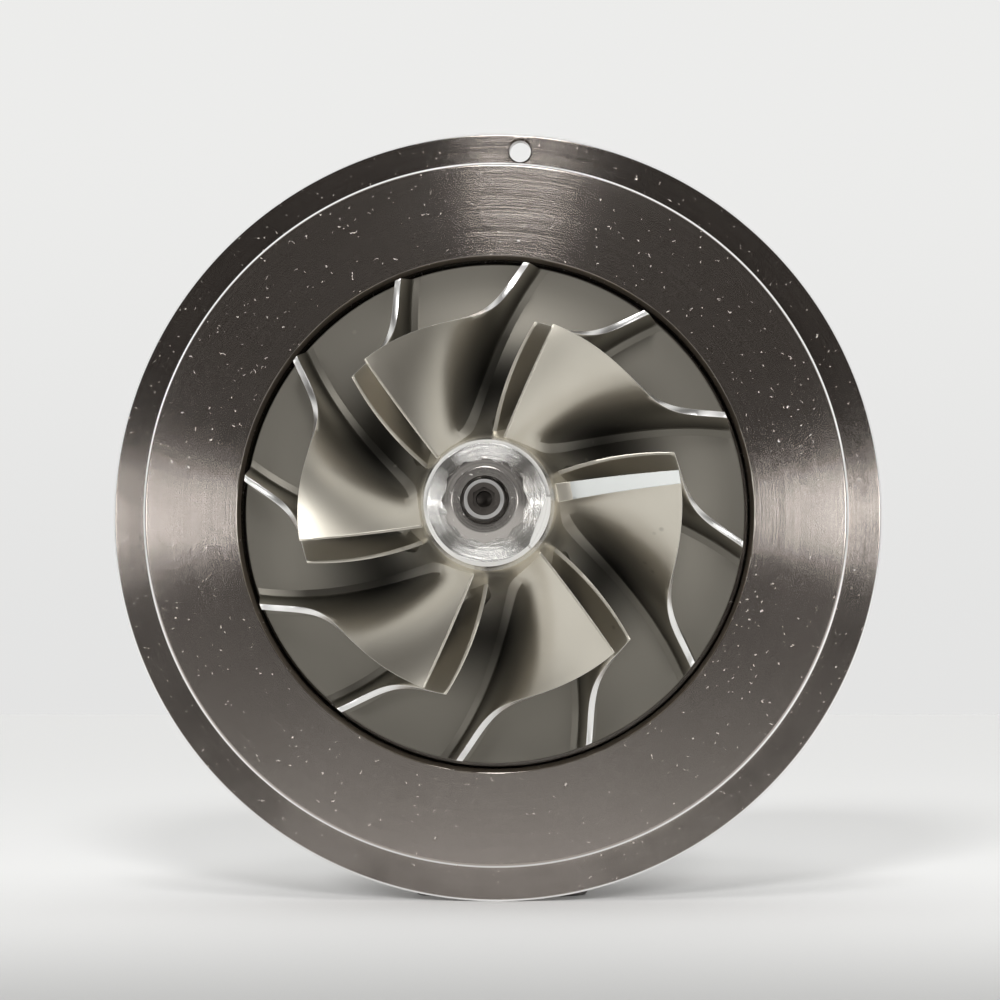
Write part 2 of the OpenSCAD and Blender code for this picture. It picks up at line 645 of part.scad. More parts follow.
// Shaft, from the turbine weld to the threaded end
relief = 0.5;
relief_len = bush_span - bush_len - 4 * past;
groove_r = turbine_bore_r - fit_gap - seal_ring_w - seal_gap;
centre_hole_r = 1.2;
centre_hole_depth = 4;
socket_r = 1.8;
socket_depth = 0.8;
thread_chamfer = 0.6;
module rotor_shaft() color("lightsteelblue") lay_down() difference() {
    turned([[0, turbine_seat], [seal_hub_r, turbine_seat],
        [seal_hub_r, turbine_ring_front - seal_ring_t - seal_gap],
        [groove_r, turbine_ring_front - seal_ring_t - seal_gap],
        [groove_r, turbine_ring_front + seal_gap], [seal_hub_r, turbine_ring_front + seal_gap],
        [seal_hub_r, seal_hub_front], [journal_r, seal_hub_front],
        [journal_r, bush_middle - relief_len / 2],
        [journal_r - relief, bush_middle - relief_len / 2 + relief],
        [journal_r - relief, bush_middle + relief_len / 2 - relief],
        [journal_r, bush_middle + relief_len / 2],
        [journal_r, shaft_shoulder], [stub_r, shaft_shoulder], [stub_r, nose_face - past],
        [thread_r, nose_face - past], [thread_r, shaft_front - thread_chamfer],
        [thread_r - thread_chamfer, shaft_front], [0, shaft_front]]);
    rod(centre_hole_r, shaft_front - centre_hole_depth, shaft_front + past);
    translate([0, 0, shaft_front - socket_depth])
        cylinder(r = socket_r, h = socket_depth + past, $fn = hex_fn);
}

module inner_thrust_collar() color("silver") lay_down()
    ring(stub_r + fit_gap, thrust_face_r, shaft_shoulder, collar_front);

module thrust_spacer() color("silver") lay_down()
    ring(stub_r + fit_gap, spacer_d / 2, collar_front, flinger_back);

flinger_r = seal_bore_r - seal_gap;
flinger_groove_r = seal_bore_r - fit_gap - seal_ring_w - seal_gap;
module oil_flinger() color("silver") lay_down()
    turned([[stub_r + fit_gap, flinger_back], [thrust_face_r, flinger_back],
        [thrust_face_r, flinger_disc_back],
        [flinger_d / 2, flinger_disc_back], [flinger_d / 2, flinger_disc_back + flinger_t],
        [flinger_r, flinger_disc_back + flinger_t],
        [flinger_r, compressor_groove_front - seal_ring_t - seal_gap],
        [flinger_groove_r, compressor_groove_front - seal_ring_t - seal_gap],
        [flinger_groove_r, compressor_groove_front + seal_gap],
        [flinger_r, compressor_groove_front + seal_gap], [flinger_r, wheel_seat],
        [stub_r + fit_gap, wheel_seat]]);

hub_steps = 10;
nose_neck = 2.2;
nose_chamfer = 0.6;
seat_r = seal_bore_r;
balance_tilt = 38;
balance_block = 20;
module compressor_wheel() color("silver") lay_down() difference() {
    union() {
        turned(concat([[stub_r + fit_gap, wheel_seat], [seat_r, wheel_seat],
            [exducer_r, rim_front_z - rim_t], [exducer_r, rim_front_z]],
            [for (i = [0 : hub_steps]) [root_r(1 - i / hub_steps), root_z(1 - i / hub_steps)]],
            [[nose_r, nose_face - nose_neck], [nose_r, nose_face - nose_chamfer],
            [nose_r - nose_chamfer, nose_face], [stub_r + fit_gap, nose_face]]));
        around(blade_pairs) compressor_blade(0, 0);
        around(blade_pairs, 180 / blade_pairs)
            compressor_blade(splitter_start(outlet_tip_z), splitter_start(rim_front_z));
    }
    rotate(balance_angle) translate([nose_r - balance_cut, 0, nose_face]) rotate([0, -balance_tilt, 0])
        translate([0, -balance_block / 2, -balance_block / 2])
            cube([balance_block, balance_block, balance_block]);
}

nut_chamfer = 0.9;
module compressor_nut() color("whitesmoke") lay_down() difference() {
    intersection() {
        translate([0, 0, nose_face]) union() {
            cylinder(d = nut_points_d, h = nut_h, $fn = hex_fn);
            rotate(30) cylinder(d = nut_points_d, h = nut_h, $fn = hex_fn);
        }
        turned([[0, nose_face], [nut_points_d / 2, nose_face], [nut_points_d / 2, nut_front - nut_chamfer],
            [nut_points_d / 2 - 2 * nut_chamfer, nut_front], [0, nut_front]]);
    }
    rod(thread_r + fit_gap, nose_face - past, nut_front + past);
}

scallop_r = 5.6;
turbine_hex_r = 6;
turbine_hub_chamfer = 1.5;
module turbine_wheel() color("darkkhaki") lay_down() difference() {
    union() {
        turned(concat([[0, turbine_seat], [seal_hub_r, turbine_seat],
            [turbine_disc_r, turbine_floor + past / 2]],
            [for (i = [0 : hub_steps]) turbine_root(i / hub_steps)],
            [[turbine_root_r - turbine_hub_chamfer, turbine_end - turbine_hub_chamfer],
            [0, turbine_end - turbine_hub_chamfer]]));
        around(turbine_blades) turbine_blade();
        translate([0, 0, hex_end]) cylinder(r = turbine_hex_r, h = turbine_hex_h, $fn = hex_fn);
    }
    around(turbine_blades, 180 / turbine_blades) translate([turbine_r + past, 0, 0])
        rod(scallop_r, turbine_seat + past, turbine_floor - turbine_inlet_w);
}

compressor_backplate();
backplate_seal();
backplate_bolts();
spring_washers();
oil_baffle();
compressor_seal_ring();
thrust_bearing();
thrust_dowels();
bearing_housing();
bearing_circlips();
turbine_seal_ring();
heat_shield();
turbine_dowel();
compressor_bearing();
turbine_bearing();
rotor_shaft();
inner_thrust_collar();
thrust_spacer();
oil_flinger();
compressor_wheel();
compressor_nut();
turbine_wheel();
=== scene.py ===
"""Turbo cartridge: fine meshes, finishes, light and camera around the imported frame.

Sizes in the classes are millimetres in the turner's own terms: r is a distance from the shaft
axis and h a station along it, positive towards the compressor inlet. A point at the angle a
lies at (r cos a, -h, r sin a) in the frame, where a runs counter-clockwise seen from the inlet.
"""

from __future__ import annotations

import logging
import math
from collections.abc import Callable, Iterable, Iterator, Sequence
from contextlib import contextmanager
from dataclasses import dataclass
from enum import Enum, IntEnum
from functools import partialmethod
from typing import Any

import bpy
from mathutils import Matrix, Vector

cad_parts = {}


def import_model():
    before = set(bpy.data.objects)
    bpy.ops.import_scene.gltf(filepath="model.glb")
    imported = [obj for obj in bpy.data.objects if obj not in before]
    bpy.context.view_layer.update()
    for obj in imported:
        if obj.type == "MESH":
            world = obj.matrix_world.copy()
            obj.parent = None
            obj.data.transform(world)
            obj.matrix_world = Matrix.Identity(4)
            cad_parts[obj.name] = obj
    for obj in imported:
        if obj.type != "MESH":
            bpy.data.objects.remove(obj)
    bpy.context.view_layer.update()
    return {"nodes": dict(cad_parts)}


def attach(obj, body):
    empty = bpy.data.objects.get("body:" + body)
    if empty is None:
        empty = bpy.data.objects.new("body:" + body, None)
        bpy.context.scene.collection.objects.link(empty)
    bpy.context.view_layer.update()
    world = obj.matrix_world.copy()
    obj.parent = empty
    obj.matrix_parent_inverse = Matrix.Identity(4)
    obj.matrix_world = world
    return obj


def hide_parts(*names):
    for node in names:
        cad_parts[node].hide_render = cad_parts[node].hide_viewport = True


log = logging.getLogger("turbo_cartridge")

MM = 0.001
MERGE = 1e-6
ROUND_STEPS = 192
SMOOTH_ANGLE = 32.0
NORMAL_WEIGHT = 80
ROUND_SHARE = 0.45
HAIR_WIDTH = 0.016
SPECK_SIZE = (0.05, 0.17)
QUARTER = math.pi / 2
MIX_COLOUR_INPUTS = (0, 6, 7)
MIX_COLOUR_OUTPUT = 2

Corner = tuple[float, float, float]
Place = tuple[float, float, float]
Point = tuple[float, float]
Colour = tuple[float, float, float]
Piece = bpy.types.Object
Material = bpy.types.Material


class Body(Enum):
    """Rigid bodies of the frame that pieces ride on."""

    CORE = "core"
    ROTOR = "rotor"


class Axis(Enum):
    """Axis that a piece is turned about."""

    SHAFT = (0.0, 1.0, 0.0)
    UP = (0.0, 0.0, 1.0)


# Bench work: small steps that every piece shares.


def blend(a: float, b: float, t: float) -> float:
    """Value between a and b."""
    return a + (b - a) * t


def choose(obj: Piece) -> None:
    """Selects one object and nothing else."""
    bpy.ops.object.select_all(action="DESELECT")
    obj.select_set(True)
    bpy.context.view_layer.objects.active = obj


def named(name: str) -> Piece:
    """Gives the piece just added its name and returns it."""
    obj = bpy.context.object
    obj.name = name
    obj.data.name = name
    return obj


@contextmanager
def editing(obj: Piece) -> Iterator[None]:
    """Edit mode on one piece with all of it selected."""
    choose(obj)
    bpy.ops.object.mode_set(mode="EDIT")
    bpy.ops.mesh.select_all(action="SELECT")
    yield
    bpy.ops.object.mode_set(mode="OBJECT")


@contextmanager
def editing_some(obj: Piece, kind: str, wanted: Callable[[Any], bool]) -> Iterator[None]:
    """Edit mode on one piece with some of its edges or faces selected.

    Args:
        obj: Piece to edit.
        kind: EDGE or FACE.
        wanted: Whether an edge or face is to be selected.
    """
    choose(obj)
    bpy.ops.object.mode_set(mode="EDIT")
    bpy.ops.mesh.select_mode(type=kind)
    bpy.ops.mesh.select_all(action="DESELECT")
    bpy.ops.object.mode_set(mode="OBJECT")
    for item in obj.data.edges if kind == "EDGE" else obj.data.polygons:
        item.select = wanted(item)
    bpy.ops.object.mode_set(mode="EDIT")
    yield
    bpy.ops.mesh.select_mode(type="VERT")
    bpy.ops.object.mode_set(mode="OBJECT")


def close_up(obj: Piece) -> None:
    """Merges doubled points and turns every face outwards."""
    with editing(obj):
        bpy.ops.mesh.remove_doubles(threshold=MERGE)
        bpy.ops.mesh.normals_make_consistent(inside=False)


def settle(obj: Piece) -> None:
    """Puts the place of an object into its mesh."""
    choose(obj)
    bpy.ops.object.transform_apply(location=True, rotation=True, scale=True)


def smooth(obj: Piece, angle: float = SMOOTH_ANGLE) -> None:
    """Shades a piece smooth across edges flatter than an angle in degrees."""
    choose(obj)
    bpy.ops.object.shade_smooth_by_angle(angle=math.radians(angle))


def modify(obj: Piece, kind: str, **settings: Any) -> None:
    """Adds a modifier with its settings and applies it.

    Args:
        obj: Piece that is changed.
        kind: Type of the modifier.
        settings: Values of the modifier's properties.
    """
    choose(obj)
    modifier = obj.modifiers.new(kind.lower(), kind)
    for key, value in settings.items():
        setattr(modifier, key, value)
    bpy.ops.object.modifier_apply(modifier=modifier.name)


def break_edges(
    obj: Piece, width: float, segments: int, angle: float = 30.0
) -> None:
    """Rounds the edges of a piece that are sharper than an angle in degrees."""
    modify(
        obj,
        "BEVEL",
        width=width * MM,
        segments=segments,
        limit_method="ANGLE",
        angle_limit=math.radians(angle),
    )


def cut(obj: Piece, tool: Piece, operation: str = "DIFFERENCE") -> None:
    """Cuts or meets a piece with a tool and removes the tool."""
    modify(obj, "BOOLEAN", object=tool, operation=operation, solver="EXACT")
    bpy.data.objects.remove(tool)


def join(name: str, parts: Sequence[Piece]) -> Piece:
    """Joins parts into one object.

    Args:
        name: Name of the joined object.
        parts: Objects to join, of which the first one stays.

    Returns:
        The joined object.
    """
    choose(parts[0])
    for part in parts:
        part.select_set(True)
    bpy.ops.object.join()
    return named(name)


def copy_of(obj: Piece, name: str) -> Piece:
    """Copies an object together with its mesh."""
    twin = obj.copy()
    twin.data = obj.data.copy()
    twin.name = name
    bpy.context.scene.collection.objects.link(twin)
    return twin


def shift(obj: Piece, offset: Vector) -> None:
    """Moves the mesh of a piece."""
    obj.data.transform(Matrix.Translation(offset))


def outward(degrees: float) -> Vector:
    """Direction away from the shaft."""
    a = math.radians(degrees)
    return Vector((math.cos(a), 0, math.sin(a)))


def lathe_place(co: Vector) -> Point:
    """Radius and station of a point, in millimetres."""
    x, y, z = co / MM
    return math.hypot(x, z), -y


def around_shaft(obj: Piece, degrees: float) -> None:
    """Turns a piece about the shaft axis, counter-clockwise seen from the inlet."""
    a = math.radians(degrees)
    for vertex in obj.data.vertices:
        x, y, z = vertex.co
        vertex.co = (x * math.cos(a) - z * math.sin(a), y, x * math.sin(a) + z * math.cos(a))


def ring_of(obj: Piece, count: int, name: str) -> Piece:
    """Repeats a piece evenly around the shaft as one object.

    Args:
        obj: Piece to repeat, which becomes the first of the ring.
        count: Number of pieces.
        name: Name of the joined ring.

    Returns:
        The joined ring.
    """
    parts = [obj]
    for i in range(1, count):
        twin = copy_of(obj, f"{name}_{i}")
        around_shaft(twin, 360 / count * i)
        parts.append(twin)
    return join(name, parts)


def rounded(corners: Sequence[Corner], steps: int = 4) -> list[Point]:
    """Rounds the corners of a closed profile.

    Args:
        corners: (r, h, rounding radius) of each corner in order.
        steps: Straight pieces of each rounding.

    Returns:
        The points of the rounded profile.
    """
    points: list[Point] = []
    count = len(corners)
    for i, (r, h, radius) in enumerate(corners):
        here = Vector((r, h))
        before = Vector(corners[i - 1][:2]) - here
        after = Vector(corners[(i + 1) % count][:2]) - here
        reach = min(radius, ROUND_SHARE * before.length, ROUND_SHARE * after.length)
        if reach < MM:
            points.append((r, h))
            continue
        start = here + before.normalized() * reach
        end = here + after.normalized() * reach
        for k in range(steps + 1):
            t = k / steps
            p = start * (1 - t) ** 2 + here * (2 * t * (1 - t)) + end * t**2
            points.append((p.x, p.y))
    return points


def turned(
    name: str,
    loop: Sequence[Point],
    axis: Axis = Axis.SHAFT,
    station: float = 0.0,
    steps: int = ROUND_STEPS,
) -> Piece:
    """Turns a closed half profile into a solid, as on a lathe.

    Args:
        name: Name of the piece.
        loop: (r, h) points; about the upright axis h is the height.
        axis: Axis that the profile is spun about.
        station: Station of an upright axis along the shaft.
        steps: Steps of the spin.

    Returns:
        The turned piece.
    """
    upright = axis is Axis.UP
    place = [
        Vector((r, -station, h)) * MM if upright else Vector((r, -h, 0)) * MM for r, h in loop
    ]
    bpy.ops.mesh.primitive_plane_add(size=MM)
    obj = named(name)
    with editing(obj):
        bpy.ops.mesh.merge(type="CENTER")
        bpy.ops.transform.translate(value=place[0])
        for here, there in zip(place, place[1:] + place[:1]):
            bpy.ops.mesh.extrude_region_move(TRANSFORM_OT_translate={"value": there - here})
        bpy.ops.mesh.select_all(action="SELECT")
        bpy.ops.mesh.remove_doubles(threshold=MERGE)
        bpy.ops.mesh.spin(
            steps=steps,
            angle=math.tau,
            center=Vector((0, -station, 0)) * MM if upright else (0, 0, 0),
            axis=axis.value,
        )
    close_up(obj)
    smooth(obj)
    return obj


def hexagon(name: str, radius: float, middle: float, depth: float) -> Piece:
    """Hexagonal bar along the shaft, by its corner radius, middle station and length."""
    bpy.ops.mesh.primitive_cylinder_add(
        vertices=6,
        radius=radius * MM,
        depth=depth * MM,
        location=(0, -middle * MM, 0),
        rotation=(QUARTER, 0, 0),
    )
    obj = named(name)
    settle(obj)
    return obj


def blade_blank(name: str, rows: int, cols: int) -> Piece:
    """Slab of unit size for a blade: x runs along it, y from root to tip and z across."""
    bpy.ops.mesh.primitive_grid_add(x_subdivisions=rows, y_subdivisions=cols, size=1)
    blank = named(name)
    with editing(blank):
        bpy.ops.mesh.extrude_region_move(TRANSFORM_OT_translate={"value": (0, 0, 1)})
    return blank


def swept(start: Point, end: Point, s: float, bend: float = 1.0) -> Point:
    """Point of a quarter bow whose second coordinate moves first and whose first one last."""
    q = QUARTER * s
    late = (1 - math.cos(q)) ** bend
    return blend(start[0], end[0], late), blend(start[1], end[1], math.sin(q))


def slab_place(co: Vector) -> Place:
    """Shares along and up a blade, from 0 to 1, and the side, 1 or -1, of a slab's point."""
    return co.x + 0.5, co.y + 0.5, 1 - 2 * co.z


def dress(obj: Piece, *finishes: Material) -> None:
    """Puts finishes on a piece, in the order of its material indices."""
    for finish in finishes:
        obj.data.materials.append(finish)


def enrol(obj: Piece, body: Body, slot: str, *nodes: str) -> None:
    """Ties a finished piece to the frame.

    Args:
        obj: Finished piece.
        body: Body that it rides on.
        slot: Material slot of the record; not used.
        nodes: Nodes of the frame that it stands for.
    """
    modify(obj, "WEIGHTED_NORMAL", keep_sharp=True, weight=NORMAL_WEIGHT)
    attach(obj, body.value)
    if nodes:
        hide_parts(*nodes)
    log.info("%s: %d faces on %s", obj.name, len(obj.data.polygons), body.value)


# Shader work.


class Wire:
    """A value in a node tree; arithmetic on it adds Math nodes."""

    def __init__(self, graph: Graph, socket: bpy.types.NodeSocket) -> None:
        """Keeps the tree and the socket that carries the value."""
        self.graph = graph
        self.socket = socket

    def _with(self, operation: str, other: Wire | float) -> Wire:
        """Result of an operation on this value and another."""
        return self.graph.math(operation, self, other)

    __add__ = __radd__ = partialmethod(_with, "ADD")
    __sub__ = partialmethod(_with, "SUBTRACT")
    __mul__ = __rmul__ = partialmethod(_with, "MULTIPLY")
    __truediv__ = partialmethod(_with, "DIVIDE")

    def __rsub__(self, other: float) -> Wire:
        """Difference from a number."""
        return self.graph.math("SUBTRACT", other, self)

    def __abs__(self) -> Wire:
        """Size without sign."""
        return self.graph.math("ABSOLUTE", self)


class Graph:
    """The node tree of one finish or of the surroundings."""

    def __init__(self, tree: bpy.types.NodeTree) -> None:
        """Empties the tree."""
        self.tree = tree
        self.tree.nodes.clear()

    def node(
        self,
        kind: str,
        settings: dict[str, Any] | None = None,
        sockets: dict[str | int, Any] | None = None,
        out: str | int = 0,
    ) -> Wire:
        """Adds a node.

        Args:
            kind: Type of the node.
            settings: Properties, set first; "stops" sets the stops of a ramp.
            sockets: Values or wires of the inputs, by name or number.
            out: Output that is returned.

        Returns:
            The output as a wire.
        """
        made = self.tree.nodes.new(kind)
        for key, value in (settings or {}).items():
            if key == "stops":
                self._set_stops(made.color_ramp, value)
            else:
                setattr(made, key, value)
        for key, value in (sockets or {}).items():
            if isinstance(value, Wire):
                self.tree.links.new(value.socket, made.inputs[key])
            else:
                made.inputs[key].default_value = value
        return Wire(self, made.outputs[out]) if len(made.outputs) else Wire(self, made.inputs[0])

    @staticmethod
    def _set_stops(ramp: bpy.types.ColorRamp, stops: Sequence[tuple[float, Colour]]) -> None:
        """Sets the stops of a ramp."""
        while len(ramp.elements) < len(stops):
            ramp.elements.new(1.0)
        for element, (place, colour) in zip(ramp.elements, stops):
            element.position = place
            element.color = (*colour, 1.0)

    def math(self, operation: str, *values: Wire | float) -> Wire:
        """Adds a Math node."""
        return self.node("ShaderNodeMath", {"operation": operation}, dict(enumerate(values)))

    def vector(self, operation: str, *values: Wire) -> Wire:
        """Adds a Vector Math node."""
        return self.node("ShaderNodeVectorMath", {"operation": operation}, dict(enumerate(values)))

    def ease(self, value: Wire, low: float, high: float) -> Wire:
        """Smooth step of a value from 0 at low to 1 at high."""
        return self.node(
            "ShaderNodeMapRange",
            {"interpolation_type": "SMOOTHSTEP"},
            {"Value": value, "From Min": low, "From Max": high},
        )

    def mix(self, share: Wire, first: Wire | Colour, second: Wire | Colour) -> Wire:
        """Colour between two colours."""
        ends = [c if isinstance(c, Wire) else (*c, 1.0) for c in (first, second)]
        sockets = dict(zip(MIX_COLOUR_INPUTS, (share, *ends)))
        return self.node("ShaderNodeMix", {"data_type": "RGBA"}, sockets, MIX_COLOUR_OUTPUT)

    def place(self) -> Wire:
        """Object coordinates in metres."""
        return self.node("ShaderNodeTexCoord", out="Object")

    def parts(self, vector: Wire) -> tuple[Wire, Wire, Wire]:
        """The three coordinates of a vector."""
        split = self.node("ShaderNodeSeparateXYZ", sockets={0: vector}).socket.node
        return tuple(Wire(self, socket) for socket in split.outputs)

    def noise(self, at: Wire, per_mm: float, detail: float = 2.0, rough: float = 0.5) -> Wire:
        """Soft noise in three dimensions with so many waves to the millimetre."""
        return self.node(
            "ShaderNodeTexNoise",
            sockets={"Vector": at, "Scale": per_mm / MM, "Detail": detail, "Roughness": rough},
            out="Fac",
        )

    def lines(self, value: Wire, per_mm: float, detail: float = 2.0) -> Wire:
        """Noise along one dimension."""
        return self.node(
            "ShaderNodeTexNoise",
            {"noise_dimensions": "1D"},
            {"W": value, "Scale": per_mm / MM, "Detail": detail, "Roughness": 0.6},
        )

    def stretch(self, x: Wire | float, y: Wire | float, z: Wire | float) -> Wire:
        """Vector from three values."""
        return self.node("ShaderNodeCombineXYZ", sockets={0: x, 1: y, 2: z})

    def bump(self, height: Wire, depth: float, normal: Wire | None = None) -> Wire:
        """Normal of a surface with a relief.

        Args:
            height: Relief from 0 to 1.
            depth: Height of 1 in millimetres.
            normal: Normal under the relief.

        Returns:
            The changed normal.
        """
        sockets: dict[str | int, Any] = {"Height": height, "Distance": depth * MM}
        if normal is not None:
            sockets["Normal"] = normal
        return self.node("ShaderNodeBump", sockets=sockets)

    def hairlines(self, vector: Wire, per_mm: float, share: float) -> Wire:
        """Short fine scratches: thin level lines of one noise, kept where another is high."""
        level = abs(self.noise(vector, per_mm, 1.0) - 0.5)
        thin = 1 - self.ease(level, 0.0, HAIR_WIDTH)
        patch = self.noise(vector, per_mm * 2.6, 1.0)
        return thin * self.ease(patch, 1 - share, 1.06 - share)

    def specks(self, vector: Wire, per_mm: float, share: float) -> Wire:
        """Small nicks, strewn unevenly."""
        cells = self.node(
            "ShaderNodeTexVoronoi",
            sockets={"Vector": vector, "Scale": per_mm / MM, "Randomness": 1.0},
            out="Distance",
        )
        dots = 1 - self.ease(cells, *SPECK_SIZE)
        patch = self.noise(vector, per_mm * 0.31, 2.0)
        return dots * self.ease(patch, 1 - share, 1.08 - share)

    def surface(self, **sockets: Any) -> None:
        """Ends a finish with its shader; names are sockets with _ for a space."""
        values = {key.replace("_", " "): value for key, value in sockets.items()}
        shader = self.node("ShaderNodeBsdfPrincipled", sockets=values)
        self.node("ShaderNodeOutputMaterial", sockets={"Surface": shader})


def new_finish(name: str) -> tuple[Material, Graph]:
    """An empty finish and its tree."""
    material = bpy.data.materials.new(name)
    material.use_nodes = True
    return material, Graph(material.node_tree)


def scaled(colour: Colour, factor: float) -> Colour:
    """Colour made lighter or darker, up to white."""
    return tuple(min(1.0, c * factor) for c in colour)


@dataclass(frozen=True)
class TurnedMetal:
    """Metal faced on a lathe: fine rings about the shaft that fan light out along the radius.

    Rings too fine for a relief tilt the normal by the slope fan instead of by ring_depth, on
    pieces that stay still.
    """

    name: str
    colour: Colour
    stain: Colour
    rough: float = 0.105
    ring_depth: float = 0.0095
    rings_per_mm: float = 64.0
    coarse_depth: float = 0.0004
    scratch: float = 0.39
    nick: float = 0.405
    hair_per_mm: float = 0.55
    nick_per_mm: float = 0.9
    mark_depth: float = 0.012
    mark_gain: float = 1.75
    cloud_per_mm: float = 0.045
    # Radii of thin rings painted lighter, a painted highlight on the plate's edges, with their
    # width and gain.
    edges: tuple[float, ...] = ()
    highlight_w: float = 0.09
    highlight_gain: float = 2.6
    fan: float = 0.0
    # Colour of the real dirt film on the plate beyond film_from.
    film_and_shade: Colour = (0.05, 0.042, 0.036)
    film_from: float = 100.0

    def make(self) -> Material:
        """Builds the finish."""
        material, g = new_finish(self.name)
        place = g.place()
        x, y, z = g.parts(place)
        radius = g.math("SQRT", x * x + z * z)
        reach = radius + y * 0.61
        fine = g.lines(reach, self.rings_per_mm, 3.0)
        coarse = g.lines(reach, self.rings_per_mm * 0.21, 2.0)
        tool = g.lines(reach, self.rings_per_mm * 0.9, 1.0)
        hair = g.hairlines(place, self.hair_per_mm, self.scratch)
        nicks = g.specks(place, self.nick_per_mm, self.nick)
        cloud = g.ease(g.noise(place, self.cloud_per_mm, 4.0, 0.6), 0.36, 0.7)
        marks = g.math("MAXIMUM", hair, nicks)
        tone = g.mix(cloud * 0.5 + tool * 0.35, self.colour, self.stain)
        filmed = g.ease(radius, self.film_from * MM, (self.film_from + 0.2) * MM)
        tone = g.mix(filmed * (0.22 + cloud * 0.3), tone, self.film_and_shade)
        # Painted highlight: thin rings at the given edge radii are painted lighter than the metal.
        for edge in self.edges:
            off = abs(radius - edge * MM)
            painted_edge_highlight = 1 - g.ease(off, self.highlight_w * MM, self.highlight_w * 1.8 * MM)
            tone = g.mix(painted_edge_highlight, tone, scaled(self.colour, self.highlight_gain))
        if self.fan:
            slope = (fine - 0.5) * self.fan / radius
            tilt = g.stretch(x * slope, (tool - 0.5) * self.fan, z * slope)
            relief = g.vector("NORMALIZE", g.vector("ADD", g.bump(fine, 0.0), tilt))
        else:
            relief = g.bump(fine, self.ring_depth)
        relief = g.bump(coarse, self.coarse_depth, relief)
        relief = g.bump(1 - marks, self.mark_depth, relief)
        g.surface(
            Base_Color=g.mix(marks * 0.7, tone, scaled(self.colour, self.mark_gain)),
            Metallic=1.0,
            Roughness=self.rough + cloud * 0.03 + marks * 0.2,
            Normal=relief,
        )
        return material


@dataclass(frozen=True)
class MilledMetal:
    """Satin metal from a milling cutter: soft cutter rows, a faint grain, and painted shade low in
    the wheel's hollows.
    """

    name: str
    colour: Colour
    shade: Colour
    rough: float = 0.3
    rows_per_mm: float = 1.5
    row_depth: float = 0.004
    grain_per_mm: float = 5.0
    grain_depth: float = 0.0015
    cloud_per_mm: float = 0.06
    nick_per_mm: float = 0.3
    # Painted shade of the hollows: shares of the shade colour painted low on the wheel at the rim
    # and deep near the hub, and the ranges over which it fades.
    film_and_shade: float = 0.32
    deep_shade: float = 0.05
    shade_reach: Point = (0.0192, 0.0297)
    shade_rim: Point = (0.019, 0.031)

    def make(self) -> Material:
        """Builds the finish."""
        material, g = new_finish(self.name)
        place = g.place()
        x, y, z = g.parts(place)
        radius = g.math("SQRT", x * x + z * z)
        rows = g.lines(radius * 0.8 - y, self.rows_per_mm, 1.0)
        grain = g.noise(place, self.grain_per_mm, 3.0, 0.6)
        cloud = g.ease(g.noise(place, self.cloud_per_mm, 3.0), 0.35, 0.7)
        nicks = g.specks(place, self.nick_per_mm, 0.42)
        tone = g.mix(cloud * 0.7, self.colour, self.shade)
        # Painted shade: low and inner parts of the wheel get a dark base colour, darkest at small
        # radius, standing in for the shade between the blades; they are also rougher there.
        unshaded = g.ease(radius * 0.33 - y, *self.shade_reach)
        film_and_shade = g.mix(
            g.ease(radius, *self.shade_rim),
            scaled(self.shade, self.deep_shade),
            scaled(self.shade, self.film_and_shade),
        )
        tone = g.mix(unshaded, film_and_shade, tone)
        relief = g.bump(rows, self.row_depth)
        relief = g.bump(grain, self.grain_depth, relief)
        g.surface(
            Base_Color=g.mix(nicks * 0.5, tone, scaled(self.shade, 0.45)),
            Metallic=1.0,
            Roughness=self.rough + grain * 0.05 + (1 - unshaded) * 0.12,
            Normal=relief,
        )
        return material


@dataclass(frozen=True)
class CastMetal:
    """Cast skin: grainy, uneven, a little darker in its hollows."""

    name: str
    colour: Colour
    shade: Colour
    metallic: float = 0.6
    rough: float = 0.55
    grain_per_mm: float = 1.3
    grain_depth: float = 0.09
    cloud_per_mm: float = 0.05

    def make(self) -> Material:
        """Builds the finish."""
        material, g = new_finish(self.name)
        place = g.place()
        grain = g.noise(place, self.grain_per_mm, 4.0, 0.62)
        pits = g.ease(g.noise(place, self.grain_per_mm * 1.9, 2.0), 0.6, 0.72)
        cloud = g.ease(g.noise(place, self.cloud_per_mm, 4.0, 0.6), 0.34, 0.68)
        tone = g.mix(cloud * 0.6 + grain * 0.4, self.shade, self.colour)
        relief = g.bump(grain, self.grain_depth)
        relief = g.bump(1 - pits, self.grain_depth * 0.5, relief)
        g.surface(
            Base_Color=g.mix(pits * 0.5, tone, scaled(self.shade, 0.5)),
            Metallic=self.metallic,
            Roughness=self.rough + grain * 0.16 - cloud * 0.06,
            Normal=relief,
        )
        return material


